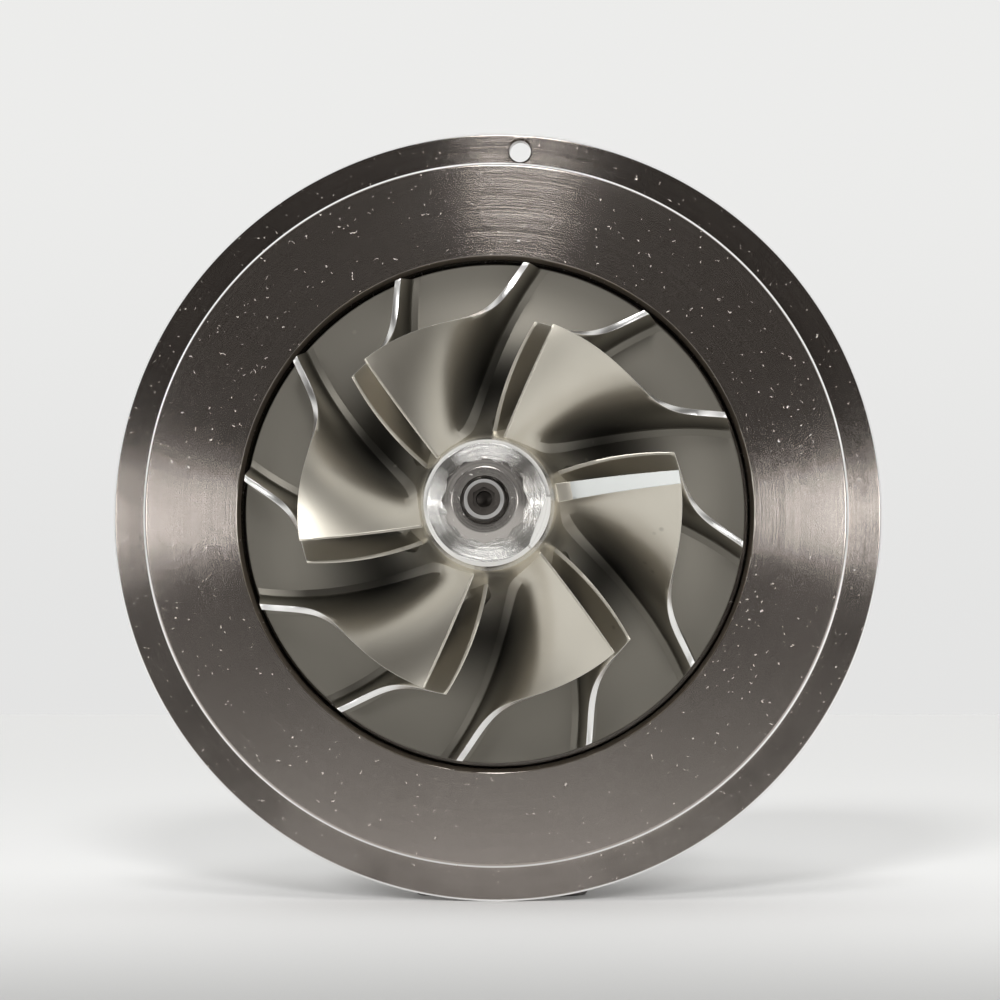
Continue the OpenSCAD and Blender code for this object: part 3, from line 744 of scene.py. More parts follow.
@dataclass(frozen=True)
class HeatTintedSheet:
    """Pressed sheet by the hot wheel: straw to blue bands around the shaft, and soot."""

    name: str
    inner_r: float
    outer_r: float
    drift: float = 6.0
    drift_per_mm: float = 0.05
    soot: Colour = (0.07, 0.062, 0.055)
    soot_per_mm: float = 0.12

    def make(self) -> Material:
        """Builds the finish."""
        material, g = new_finish(self.name)
        place = g.place()
        x, y, z = g.parts(place)
        radius = g.math("SQRT", x * x + z * z)
        drift = (g.noise(place, self.drift_per_mm, 3.0) - 0.5) * (self.drift * MM)
        band = g.ease(radius + drift, self.inner_r * MM, self.outer_r * MM)
        tint = g.node(
            "ShaderNodeValToRGB",
            {
                "stops": [
                    (0.0, (0.30, 0.27, 0.25)),
                    (0.3, (0.20, 0.21, 0.28)),
                    (0.5, (0.30, 0.22, 0.28)),
                    (0.7, (0.46, 0.33, 0.19)),
                    (1.0, (0.50, 0.47, 0.42)),
                ]
            },
            {"Fac": band},
        )
        soot = g.ease(g.noise(place, self.soot_per_mm, 5.0, 0.65), 0.45, 0.75)
        drawn = g.lines(radius + y, 2.2, 2.0)
        g.surface(
            Base_Color=g.mix(soot * 0.55, tint, self.soot),
            Metallic=1.0,
            Roughness=0.32 + soot * 0.25,
            Normal=g.bump(drawn, 0.006),
        )
        return material


@dataclass(frozen=True)
class PlainMetal:
    """Ground, plated or oiled metal with a fine grain, smears and handling marks."""

    name: str
    colour: Colour
    shade: Colour
    metallic: float = 1.0
    rough: float = 0.28
    grain_per_mm: float = 4.0
    grain_depth: float = 0.003
    smear_per_mm: float = 0.12
    hair_per_mm: float = 0.3

    def make(self) -> Material:
        """Builds the finish."""
        material, g = new_finish(self.name)
        place = g.place()
        grain = g.noise(place, self.grain_per_mm, 3.0, 0.6)
        smear = g.ease(g.noise(place, self.smear_per_mm, 4.0, 0.6), 0.36, 0.7)
        marks = g.hairlines(place, self.hair_per_mm, 0.5)
        tone = g.mix(smear * 0.7 + grain * 0.2, self.colour, self.shade)
        g.surface(
            Base_Color=g.mix(marks * 0.4, tone, scaled(self.colour, 1.4)),
            Metallic=self.metallic,
            Roughness=self.rough + smear * 0.12 + grain * 0.05,
            Normal=g.bump(grain, self.grain_depth),
        )
        return material


class FinishRack:
    """Every finish of the cartridge, made once."""

    def __init__(self) -> None:
        """Makes the finishes."""
        self.plate = TurnedMetal(
            "turned_steel", (0.52, 0.47, 0.432), (0.43, 0.385, 0.35), rings_per_mm=260.0, fan=0.9,
            scratch=0.37, nick=0.36, edges=(54.4, 59.85), film_from=54.6,
        ).make()
        self.blade = MilledMetal(
            "milled_aluminium", (0.74, 0.70, 0.61), (0.64, 0.60, 0.515)
        ).make()
        self.blade_tip = TurnedMetal(
            "turned_blade_tip", (0.96, 0.95, 0.93), (0.92, 0.91, 0.88), rough=0.3,
            ring_depth=0.0018, scratch=0.3, nick=0.3,
        ).make()
        self.blade_inlet = MilledMetal(
            "milled_blade_inlet", (0.56, 0.575, 0.56), (0.51, 0.525, 0.51), rough=0.46,
            row_depth=0.0006, grain_depth=0.0006,
        ).make()
        self.nose = TurnedMetal(
            "turned_nose", (0.92, 0.91, 0.88), (0.83, 0.81, 0.78), rough=0.13, ring_depth=0.012,
            scratch=0.35, nick=0.3,
        ).make()
        self.nut = TurnedMetal(
            "bright_steel", (0.54, 0.51, 0.48), (0.42, 0.395, 0.37), rough=0.24, ring_depth=0.012,
            rings_per_mm=6.0, coarse_depth=0.02, scratch=0.35, nick=0.35,
        ).make()
        self.oiled = PlainMetal(
            "oiled_steel", (0.12, 0.108, 0.098), (0.06, 0.053, 0.048), rough=0.38
        ).make()
        self.ground = PlainMetal("ground_steel", (0.52, 0.51, 0.50), (0.42, 0.41, 0.40)).make()
        self.cast = CastMetal("cast_iron", (0.23, 0.215, 0.20), (0.13, 0.12, 0.112)).make()
        self.seat = TurnedMetal(
            "machined_seat", (0.44, 0.42, 0.40), (0.33, 0.31, 0.29), rough=0.28
        ).make()
        self.bronze = PlainMetal(
            "bearing_bronze", (0.62, 0.44, 0.22), (0.50, 0.34, 0.16), rough=0.3
        ).make()
        self.rubber = PlainMetal(
            "seal_rubber", (0.03, 0.03, 0.03), (0.02, 0.02, 0.02), 0.0, 0.6, 2.0, 0.02
        ).make()
        self.zinc = PlainMetal("zinc_steel", (0.58, 0.57, 0.53), (0.46, 0.45, 0.40)).make()
        self.spring = PlainMetal(
            "spring_steel", (0.24, 0.24, 0.25), (0.16, 0.16, 0.165), rough=0.36
        ).make()
        self.sheet = HeatTintedSheet("heat_tinted_sheet", 12.0, 37.0).make()
        self.alloy = CastMetal(
            "turbine_alloy", (0.42, 0.385, 0.335), (0.30, 0.265, 0.225), 1.0, 0.36, 2.2, 0.02
        ).make()


# Sub-assemblies.


@dataclass
class Backplate:
    """Turned steel plate with the flange, the raised ring and the wheel's recess."""

    rim_r: float = 60.0
    rim_edge: float = 0.3
    rim_back: float = -2.4
    ring_r: float = 54.6
    ring_face: float = 6.4
    ring_back: float = -4.2
    edge: float = 0.5
    recess_r: float = 39.3
    recess_floor: float = 1.4
    recess_edge: float = 0.7
    spigot_r: float = 50.0
    spigot_back: float = -6.0
    pilot_r: float = 34.0
    pilot_back: float = -9.0
    groove_r: float = 32.4
    groove: Point = (-6.4, -8.6)
    pocket_r: float = 15.0
    pocket_floor: float = -5.4
    bore_r: float = 8.5
    hole_r: float = 1.7
    hole_angle: float = 86.3
    hole_centre_r: float = 57.3
    sink: float = 1.3
    steps: int = 480

    def build(self, rack: FinishRack) -> None:
        """Turns the plate, drills its locating hole and dresses it."""
        plate = turned("backplate", rounded(self._profile(), 3), steps=self.steps)
        cut(plate, self._drill())
        smooth(plate)
        dress(plate, rack.plate)
        enrol(plate, Body.CORE, "turned_steel", "compressor_backplate")

    def _profile(self) -> list[Corner]:
        """Section of the plate, from the seal bore outwards and back."""
        fine = 0.12
        face, floor, (front, back) = self.ring_face, self.recess_floor, self.groove
        return [
            (self.bore_r, floor, 0.2), (self.recess_r, floor, 0.4),
            (self.recess_r, face - self.recess_edge, fine),
            (self.recess_r + self.recess_edge, face, fine), (self.ring_r - self.edge, face, fine),
            (self.ring_r, face - self.edge, fine), (self.ring_r, 0.0, 0.3),
            (self.rim_r - self.rim_edge, 0.0, fine), (self.rim_r, -self.rim_edge, fine),
            (self.rim_r, self.rim_back, 0.2), (self.ring_r, self.ring_back, 0.3),
            (self.spigot_r, self.ring_back, 0.3), (self.spigot_r, self.spigot_back, 0.2),
            (self.pilot_r, self.spigot_back, 0.2), (self.pilot_r, front, 0.1),
            (self.groove_r, front, 0.1), (self.groove_r, back, 0.1), (self.pilot_r, back, 0.1),
            (self.pilot_r, self.pilot_back, 0.1), (self.pocket_r, self.pilot_back, 0.2),
            (self.pocket_r, self.pocket_floor, 0.2), (self.bore_r, self.pocket_floor, 0.2),
        ]

    def _drill(self) -> Piece:
        """Drill with a small countersink for the locating hole."""
        r = self.hole_r
        loop = [(0, 1), (r + self.sink, 1), (r, 1 - self.sink), (r, -8), (0, -8)]
        drill = turned("drill", loop, steps=40)
        shift(drill, outward(self.hole_angle) * (self.hole_centre_r * MM))
        return drill


class WheelFace(IntEnum):
    """Finishes of the compressor wheel, as material indices."""

    MILLED = 0
    TIP = 1
    NOSE = 2
    GROUND = 3


@dataclass
class CompressorWheel:
    """Milled wheel with six full blades, six splitters and a turned nose."""

    seat: float = 2.4
    seat_r: float = 8.5
    exducer_r: float = 38.5
    blade_out_r: float = 38.4
    inducer_r: float = 28.7
    hub_inlet_r: float = 10.4
    inlet_h: float = 29.2
    splitter_h: float = 23.0
    outlet_tip_h: float = 13.6
    rim_front_h: float = 7.0
    rim_t: float = 1.6
    nose_h: float = 37.0
    nose_r: float = 9.35
    nose_edge: float = 0.6
    nose_turned: float = 3.4
    bore_r: float = 3.52
    flat_angle: float = -20.0
    flat_tilt: float = 42.0
    flat_depth: float = 1.5
    pairs: int = 6
    tip_angle: float = 128.5
    tip_wrap: float = 46.2
    tip_turn: Point = (2.36, -2.2)
    inlet_lean: float = 2.0
    root_wrap: float = 50.0
    root_turn: Point = (1.7, -1.1)
    tip_bend: float = 1.8
    tip_inlet_w: float = 2.1
    tip_outlet_w: float = 1.0
    root_extra_w: float = 0.7
    fillet_w: float = 1.3
    fillet_share: float = 0.1
    fillet_start: float = 0.15
    root_sink: float = -0.06
    inlet_tilt: float = 0.3
    dressed_blade: int = 4
    splitter_edge: float = 0.28
    splitter_taper: float = 0.12
    full_edge: float = 0.7
    full_taper: float = 0.24
    ground_from: float = 0.09
    finishes: tuple[Material, ...] = ()
    rows: int = 44
    cols: int = 18

    def build(self, rack: FinishRack) -> None:
        """Turns the hub, mills the blades and grinds the balancing flat."""
        self.finishes = (rack.blade, rack.blade_tip, rack.nose, rack.blade_inlet)
        hub = self._hub()
        full = self._full_blades()
        tip_start, root_start = self._cross(self.outlet_tip_h), self._cross(self.rim_front_h)
        half = self._blade("splitter", tip_start, root_start)
        around_shaft(half, 180 / self.pairs)
        splitters = ring_of(half, self.pairs, "splitter_blades")
        wheel = join("compressor_wheel_milled", [hub, full, splitters])
        smooth(wheel, 60)
        enrol(wheel, Body.ROTOR, "milled_aluminium", "compressor_wheel")

    def _full_blades(self) -> Piece:
        """The full blades, one of them with its inlet edge dressed at a slant."""
        pitch = 360 / self.pairs
        blades = [self._blade("full_0", 0.0, 0.0, self.inlet_tilt)]
        plain = self._blade("full_1", 0.0, 0.0)
        for i in range(1, self.pairs):
            blades.append(copy_of(plain, f"full_{i + 1}"))
            around_shaft(blades[-1], pitch * i)
        bpy.data.objects.remove(plain)
        full = join("full_blades", blades)
        around_shaft(full, self.dressed_blade * pitch)
        return full

    def _cross(self, low: float) -> float:
        """Share of a tip or root line where it meets the splitters' inlet plane."""
        return math.asin((self.inlet_h - self.splitter_h) / (self.inlet_h - low)) / QUARTER

    def _root(self, s: float) -> Point:
        """Hub line at the share s from inlet to outlet."""
        start, end = (self.hub_inlet_r, self.inlet_h), (self.blade_out_r, self.rim_front_h)
        return swept(start, end, s)

    def _tip(self, s: float) -> Point:
        """Shroud line at the share s from inlet to outlet."""
        start, end = (self.inducer_r, self.inlet_h), (self.blade_out_r, self.outlet_tip_h)
        return swept(start, end, s, self.tip_bend)

    @staticmethod
    def _share(s: float, first: float, second: float) -> float:
        """Share of the turn done at s, quick at the inlet."""
        return first * s + second * s**2 + (1 - first - second) * s**3

    def _hub(self) -> Piece:
        """Hub with back face, rim, hub line and nose, with the balancing flat ground on."""
        steps = 26
        line = [self._root(1 - i / steps) for i in range(steps + 1)]
        top, edge = self.nose_h, self.nose_edge
        nose = rounded(
            [
                (self.hub_inlet_r, self.inlet_h, 0), (self.nose_r + 0.9, top - 4.6, 2.2),
                (self.nose_r, top - 2.2, 0.6), (self.nose_r, top - edge, 0.08),
                (self.nose_r - edge, top, 0.08), (self.bore_r, top, 0),
                (self.bore_r, self.seat, 0), (self.seat_r, self.seat, 0.3),
                (self.exducer_r, self.rim_front_h - self.rim_t, 0.15),
                (self.exducer_r, self.rim_front_h, 0.12),
            ]
        )
        hub = turned("hub", line + nose[1:])
        self._grind_flat(hub)
        for face in hub.data.polygons:
            r, h = lathe_place(face.center)
            on_nose = h > top - self.nose_turned and r < self.nose_r + 0.8
            face.material_index = WheelFace.NOSE if on_nose else WheelFace.MILLED
        dress(hub, *self.finishes)
        return hub

    def _grind_flat(self, hub: Piece) -> None:
        """Grinds the balancing flat into the edge of the nose."""
        tilt = math.radians(self.flat_tilt)
        out = outward(self.flat_angle)
        normal = out * math.cos(tilt) + Vector((0, -1, 0)) * math.sin(tilt)
        point = out * ((self.nose_r - self.flat_depth) * MM) + Vector((0, -self.nose_h * MM, 0))
        low = (self.inlet_h + 2) * MM
        with editing_some(hub, "FACE", lambda face: -face.center.y > low):
            bpy.ops.mesh.bisect(plane_co=point, plane_no=normal, use_fill=True, clear_outer=True)
            bpy.ops.mesh.mark_sharp()

    def _blade(self, name: str, tip_start: float, root_start: float, tilt: float = 0.0) -> Piece:
        """Mills one blade from a flat slab.

        Args:
            name: Name of the blade.
            tip_start: Share of the tip line where the blade begins.
            root_start: Share of the root line where the blade begins.
            tilt: Slant of the inlet edge across the blade.

        Returns:
            The blade, with the wheel's finishes.
        """
        blade = blade_blank(name, self.rows, self.cols)
        for face in blade.data.polygons:
            x, y, z = face.center
            on_edge, at_tip, at_inlet = 0.1 < z < 0.9, y > 0.49, x < -0.49
            if on_edge and at_tip:
                face.material_index = WheelFace.TIP
            elif on_edge and tilt and at_inlet and y > self.ground_from - 0.45:
                face.material_index = WheelFace.GROUND
        for vertex in blade.data.vertices:
            along, rise, side = slab_place(vertex.co)
            v = blend(self.root_sink, 1.0, rise)
            start = blend(root_start, tip_start, max(v, 0.0))
            if tip_start:
                side *= blend(self.splitter_edge, 1.0, min(1.0, along / self.splitter_taper))
            elif not tilt and side < 0:
                back = max(0.0, 1 - along / self.full_taper) ** 2
                side = blend(side, self.full_edge, back)
            point = self._blade_point(blend(start, 1.0, along), v, side, along)
            if along == 0:
                point.y += tilt * side * min(1.0, max(0.0, v / self.ground_from - 1) * 2)
            vertex.co = point * MM
        close_up(blade)
        break_edges(blade, width=0.07, segments=2, angle=22)
        dress(blade, *self.finishes)
        return blade

    def _blade_point(self, s: float, v: float, side: float, along: float) -> Vector:
        """Point on one side of a blade, in millimetres.

        Args:
            s: Share from inlet to outlet.
            v: Share from root to tip.
            side: Place across the blade, from -1 to 1.
            along: Share of the blade's own length.

        Returns:
            The point.
        """
        root, tip = self._root(s), self._tip(s)
        r, h = blend(root[0], tip[0], v), blend(root[1], tip[1], v)
        tip_turn = self.tip_angle - self.tip_wrap * self._share(s, *self.tip_turn)
        root_turn = self.tip_angle + self.inlet_lean
        root_turn -= self.root_wrap * self._share(s, *self.root_turn)
        width = blend(self.tip_inlet_w, self.tip_outlet_w, math.sqrt(s))
        width += self.root_extra_w * (1 - v)
        fillet = max(0.0, 1 - max(v, 0.0) / self.fillet_share) ** 2
        width += 2 * self.fillet_w * fillet * min(1.0, along / self.fillet_start)
        a = math.radians(blend(root_turn, tip_turn, v)) + side * width / 2 / r
        return Vector((r * math.cos(a), -h, r * math.sin(a)))


@dataclass
class ShaftEnd:
    """Shaft with its threaded end and the twelve-point nut on it."""

    nose_h: float = 37.0
    nut_h: float = 45.0
    front_h: float = 47.4
    thread_r: float = 3.0
    thread_depth: float = 0.42
    thread_cuts: int = 120
    pitch: float = 0.75
    weld: float = -74.2
    hub_r: float = 9.3
    groove_r: float = 7.9
    groove: Point = (-69.1, -67.3)
    hub_end: float = -63.0
    journal_r: float = 5.5
    waist_r: float = 5.0
    waist: Point = (-46.0, -36.0)
    collar_h: float = -19.0
    seat_r: float = 3.5
    hole_r: float = 1.2
    hole_depth: float = 4.0
    key_r: float = 1.8
    key_depth: float = 1.6
    points_r: float = 6.4
    hollow_share: float = 0.8966
    cone: float = 0.9

    def build(self, rack: FinishRack) -> None:
        """Makes the shaft and its nut."""
        shaft = self._shaft()
        dress(shaft, rack.ground, rack.oiled)
        enrol(shaft, Body.ROTOR, "ground_steel", "rotor_shaft")
        nut = self._nut()
        dress(nut, rack.nut)
        enrol(nut, Body.ROTOR, "bright_steel", "compressor_nut")

    def _profile(self, thread_start: float, thread_end: float) -> list[Point]:
        """Section of the shaft from the turbine weld to the centre hole in its front end."""
        r, front = self.thread_r, self.front_h
        body = rounded(
            [
                (0, self.weld, 0), (self.hub_r, self.weld, 0.2), (self.hub_r, self.groove[0], 0.1),
                (self.groove_r, self.groove[0], 0.1), (self.groove_r, self.groove[1], 0.1),
                (self.hub_r, self.groove[1], 0.1), (self.hub_r, self.hub_end, 0.3),
                (self.journal_r, self.hub_end, 0.4), (self.journal_r, self.waist[0], 0.2),
                (self.waist_r, self.waist[0] + 0.5, 0.2), (self.waist_r, self.waist[1], 0.2),
                (self.journal_r, self.waist[1] + 0.5, 0.2), (self.journal_r, self.collar_h, 0.2),
                (self.seat_r, self.collar_h, 0.1), (self.seat_r, thread_start, 0.2),
            ]
        )
        cuts = self.thread_cuts
        thread = [(r, blend(thread_start + 0.1, thread_end, i / cuts)) for i in range(cuts + 1)]
        end = [(r - 0.1, thread_end + 0.1), (r - 0.52, front - 0.08), (r - 0.62, front)]
        hole = self.hole_r
        floor = front - self.hole_depth
        return body + thread + end + [(hole, front), (hole, floor), (0, floor - 0.5)]

    def _shaft(self) -> Piece:
        """Shaft with its thread, the key socket and the oiled front end."""
        thread_start, thread_end = self.nose_h - 1.0, self.front_h - 0.6
        shaft = turned("shaft", self._profile(thread_start, thread_end), steps=96)
        for vertex in shaft.data.vertices:
            r, h = lathe_place(vertex.co)
            if r > self.thread_r - 0.01 and thread_start + 0.2 < h < thread_end + 0.01:
                turn = math.atan2(vertex.co.z, vertex.co.x) / math.tau
                phase = (h / self.pitch + turn) % 1.0
                keep = 1 - self.thread_depth / r * (1 - abs(2 * phase - 1))
                vertex.co.x *= keep
                vertex.co.z *= keep
        cut(shaft, hexagon("key", self.key_r, self.front_h, self.key_depth))
        smooth(shaft, 40)
        for face in shaft.data.polygons:
            r, h = lathe_place(face.center)
            chamfer = h > thread_end + 0.05 and r > self.thread_r - 0.6
            in_hole = h > thread_start and r < self.hole_r + 0.1
            face.material_index = int(in_hole or (h > self.nut_h and not chamfer))
        return shaft

    def _nut(self) -> Piece:
        """Twelve-point nut: a star raised from a ring of points, turned to a cone in front."""
        bpy.ops.mesh.primitive_circle_add(
            vertices=24,
            radius=self.points_r * MM,
            fill_type="NGON",
            location=(0, -self.nose_h * MM, 0),
            rotation=(QUARTER, 0, 0),
        )
        nut = named("nut")
        settle(nut)
        for vertex in list(nut.data.vertices)[1::2]:
            vertex.co.x *= self.hollow_share
            vertex.co.z *= self.hollow_share
        rise = -(self.nut_h - self.nose_h) * MM
        with editing(nut):
            bpy.ops.mesh.extrude_region_move(TRANSFORM_OT_translate={"value": (0, rise, 0)})
        close_up(nut)
        break_edges(nut, width=0.18, segments=2, angle=20)
        bore, points = self.thread_r + 0.02, self.points_r
        low, top = self.nose_h - 1, self.nut_h
        loop = rounded(
            [
                (bore, low, 0), (points + 1, low, 0), (points + 1, top - self.cone * 1.6, 0),
                (points - 0.4, top - self.cone, 0.3), (points - 1.6, top, 0.15),
                (self.thread_r + 0.5, top, 0.1), (bore, top - 0.5, 0),
            ]
        )
        cut(nut, turned("nut_turning", loop, steps=144), "INTERSECT")
        smooth(nut, 25)
        return nut


@dataclass
class BearingHousing:
    """Cast housing with machined flanges, the oil inlet boss and the oil drain."""

    front: float = -6.0
    front_r: float = 50.0
    front_t: float = 7.0
    front_bore_r: float = 34.1
    barrel_r: float = 31.0
    barrel_bore_r: float = 14.0
    neck_r: float = 6.0
    turbine_face: float = -66.8
    turbine_r: float = 46.0
    turbine_t: float = 7.0
    pilot_r: float = 43.0
    pilot_h: float = 2.6
    shield_room_r: float = 37.4
    spigot_r: float = 32.0
    spigot_end: float = -71.8
    bore_r: float = 9.5
    drain_h: float = -36.8
    drain_drop: float = 60.0
    drain_w: float = 28.0
    drain_len: float = 46.0
    drain_t: float = 10.0
    drain_corner_r: float = 9.0
    drain_bore_r: float = 9.5
    drain_bore_top: float = -25.0
    drain_trunk_r: float = 13.9
    drain_bolt_r: float = 3.4
    drain_bolt_span: float = 32.0
    inlet_h: float = -40.8
    inlet_rise: float = 43.0
    inlet_boss_r: float = 13.0
    inlet_bore_r: float = 5.1
    inlet_depth: float = 12.0
    rib_w: float = 6.0
    rib_len: float = 12.0
    rib_r: Point = (24.0, 44.0)
    voxel: float = 0.8

    def build(self, rack: FinishRack) -> None:
        """Casts the body, machines its seats and dresses them."""
        for piece, finishes in (
            (self._casting(), (rack.cast, rack.seat)),
            (self._front_flange(), (rack.cast,)),
            (self._turbine_flange(), (rack.seat,)),
        ):
            dress(piece, *finishes)
            enrol(piece, Body.CORE, "cast_iron", "bearing_housing")

    def _barrel(self) -> Piece:
        """Barrel with a fillet at each flange."""
        front = self.front - self.front_t
        back = self.turbine_face + self.turbine_t
        bore, n, q = self.barrel_bore_r, self.neck_r, self.barrel_r
        loop = rounded(
            [
                (bore, front + 3, 0), (q + n + 6, front + 3, 0), (q + n + 6, front - 0.6, 1.5),
                (q, front - 0.6, n * 1.4), (q, back + 0.6, n * 1.4), (q + n + 4, back + 0.6, 1.5),
                (q + n + 4, back - 3, 0), (bore, back - 3, 0),
            ],
            8,
        )
        return turned("barrel", loop, steps=128)

    def _boss(self) -> Piece:
        """Oil inlet boss with a little draft, left tall for facing."""
        r, top = self.inlet_boss_r, self.inlet_rise + 2
        loop = [(0, 20), (r + 1.6, 20), (r, top), (0, top)]
        return turned("boss", loop, Axis.UP, self.inlet_h, 96)

    def _trunk(self) -> Piece:
        """Drain trunk with a little draft."""
        r, foot = self.drain_trunk_r, -self.drain_drop + 3
        loop = [(0, -16), (r + 2.4, -16), (r, foot), (0, foot)]
        return turned("trunk", loop, Axis.UP, self.drain_h, 96)

    @staticmethod
    def _block(name: str, low: Corner, high: Corner, round_by: float) -> Piece:
        """Block between two corners in millimetres with rounded upright edges."""
        size = [b - a for a, b in zip(low, high)]
        centre = [(a + b) / 2 * MM for a, b in zip(low, high)]
        bpy.ops.mesh.primitive_cube_add(size=MM, location=centre, scale=size)
        block = named(name)
        settle(block)
        points = block.data.vertices

        def upright(edge: bpy.types.MeshEdge) -> bool:
            """Whether an edge runs upwards."""
            a, b = (points[i].co.z for i in edge.vertices)
            return abs(a - b) > MERGE

        with editing_some(block, "EDGE", upright):
            bpy.ops.mesh.bevel(offset=round_by * MM, segments=8, affect="EDGES")
        return block

    def _rib(self, angle: float) -> Piece:
        """Rib between the front flange and the barrel."""
        back, (low, high), half = self.front - self.front_t, self.rib_r, self.rib_w / 2
        rib = self._block("rib", (low, -back - 1, -half), (high, -back + self.rib_len, half), 1.0)
        for vertex in rib.data.vertices:
            x, y = vertex.co.x / MM, vertex.co.y / MM
            share = min(1.0, max(0.0, (y + back) / self.rib_len))
            vertex.co.x = min(x, blend(high - 0.5, self.barrel_r - 0.5, share)) * MM
        around_shaft(rib, angle)
        return rib

    def _casting(self) -> Piece:
        """Fuses the cast forms, softens their meetings and drills them."""
        half_w, half_l = self.drain_w / 2, self.drain_len / 2
        foot = self._block(
            "drain_flange",
            (-half_w, -self.drain_h - half_l, -self.drain_drop),
            (half_w, -self.drain_h + half_l, -self.drain_drop + self.drain_t),
            self.drain_corner_r,
        )
        ribs = [self._rib(angle) for angle in (0, 90, 180, 270)]
        body = join("housing_casting", [self._barrel(), self._boss(), self._trunk(), foot, *ribs])
        modify(body, "REMESH", mode="VOXEL", voxel_size=self.voxel * MM)
        modify(body, "SMOOTH", factor=0.5, iterations=7)
        for tool in self._tools():
            cut(body, tool)
        smooth(body, 35)
        for face in body.data.polygons:
            z, level = face.center.z / MM, abs(face.normal.z) > 0.9
            machined = z > self.inlet_rise - 0.2 or z < 0.2 - self.drain_drop
            face.material_index = int(machined and level)
        return body

    def _tools(self) -> list[Piece]:
        """Cutters for the machined faces, the oil inlet, the drain and its bolt holes."""
        top, foot, bore_top = self.inlet_rise, -self.drain_drop, self.drain_bore_top
        r, d, b = self.inlet_bore_r, self.drain_bore_r, self.drain_bolt_r
        wide, deep = self.inlet_boss_r + 2, top - self.inlet_depth
        facing = [(0, top), (wide, top), (wide, top + 9), (0, top + 9)]
        inlet = [(0, top + 1), (r + 1.4, top + 1), (r, top - 1.3), (r, deep), (0, deep - 2)]
        drain = [(0, foot - 2), (d, foot - 2), (d, bore_top), (0, bore_top)]
        bolt = [(0, foot - 2), (b, foot - 2), (b, foot + 8), (0, foot + 9)]
        half_span = self.drain_bolt_span / 2
        cutters = (
            ("facer", facing, self.inlet_h, 48),
            ("tap", inlet, self.inlet_h, 64),
            ("drain_bore", drain, self.drain_h, 96),
            ("drain_tap", bolt, self.drain_h - half_span, 40),
            ("drain_tap", bolt, self.drain_h + half_span, 40),
        )
        return [turned(name, loop, Axis.UP, at, steps) for name, loop, at, steps in cutters]

    def _front_flange(self) -> Piece:
        """Flange behind the backplate."""
        bore, r = self.front_bore_r, self.front_r
        front, back = self.front, self.front - self.front_t
        loop = rounded([(bore, front, 0.1), (r, front, 0.3), (r, back, 1.2), (bore, back, 0)])
        return turned("housing_front_flange", loop)

    def _turbine_flange(self) -> Piece:
        """Flange, pilot ring and spigot on the turbine side."""
        face, back = self.turbine_face, self.turbine_face + self.turbine_t
        step = face - self.pilot_h
        loop = rounded(
            [
                (self.bore_r, back - 2, 0), (self.barrel_r, back - 0.2, 0),
                (self.pilot_r, back, 0.8), (self.turbine_r, face + self.turbine_t / 2, 0.4),
                (self.turbine_r, face, 0.25), (self.pilot_r, face, 0.2),
                (self.pilot_r, step, 0.35), (self.shield_room_r, step, 0.3),
                (self.shield_room_r, face, 0.2), (self.spigot_r, face, 0.2),
                (self.spigot_r, self.spigot_end, 0.5), (self.bore_r, self.spigot_end, 0.4),
            ]
        )
        return turned("housing_turbine_flange", loop)


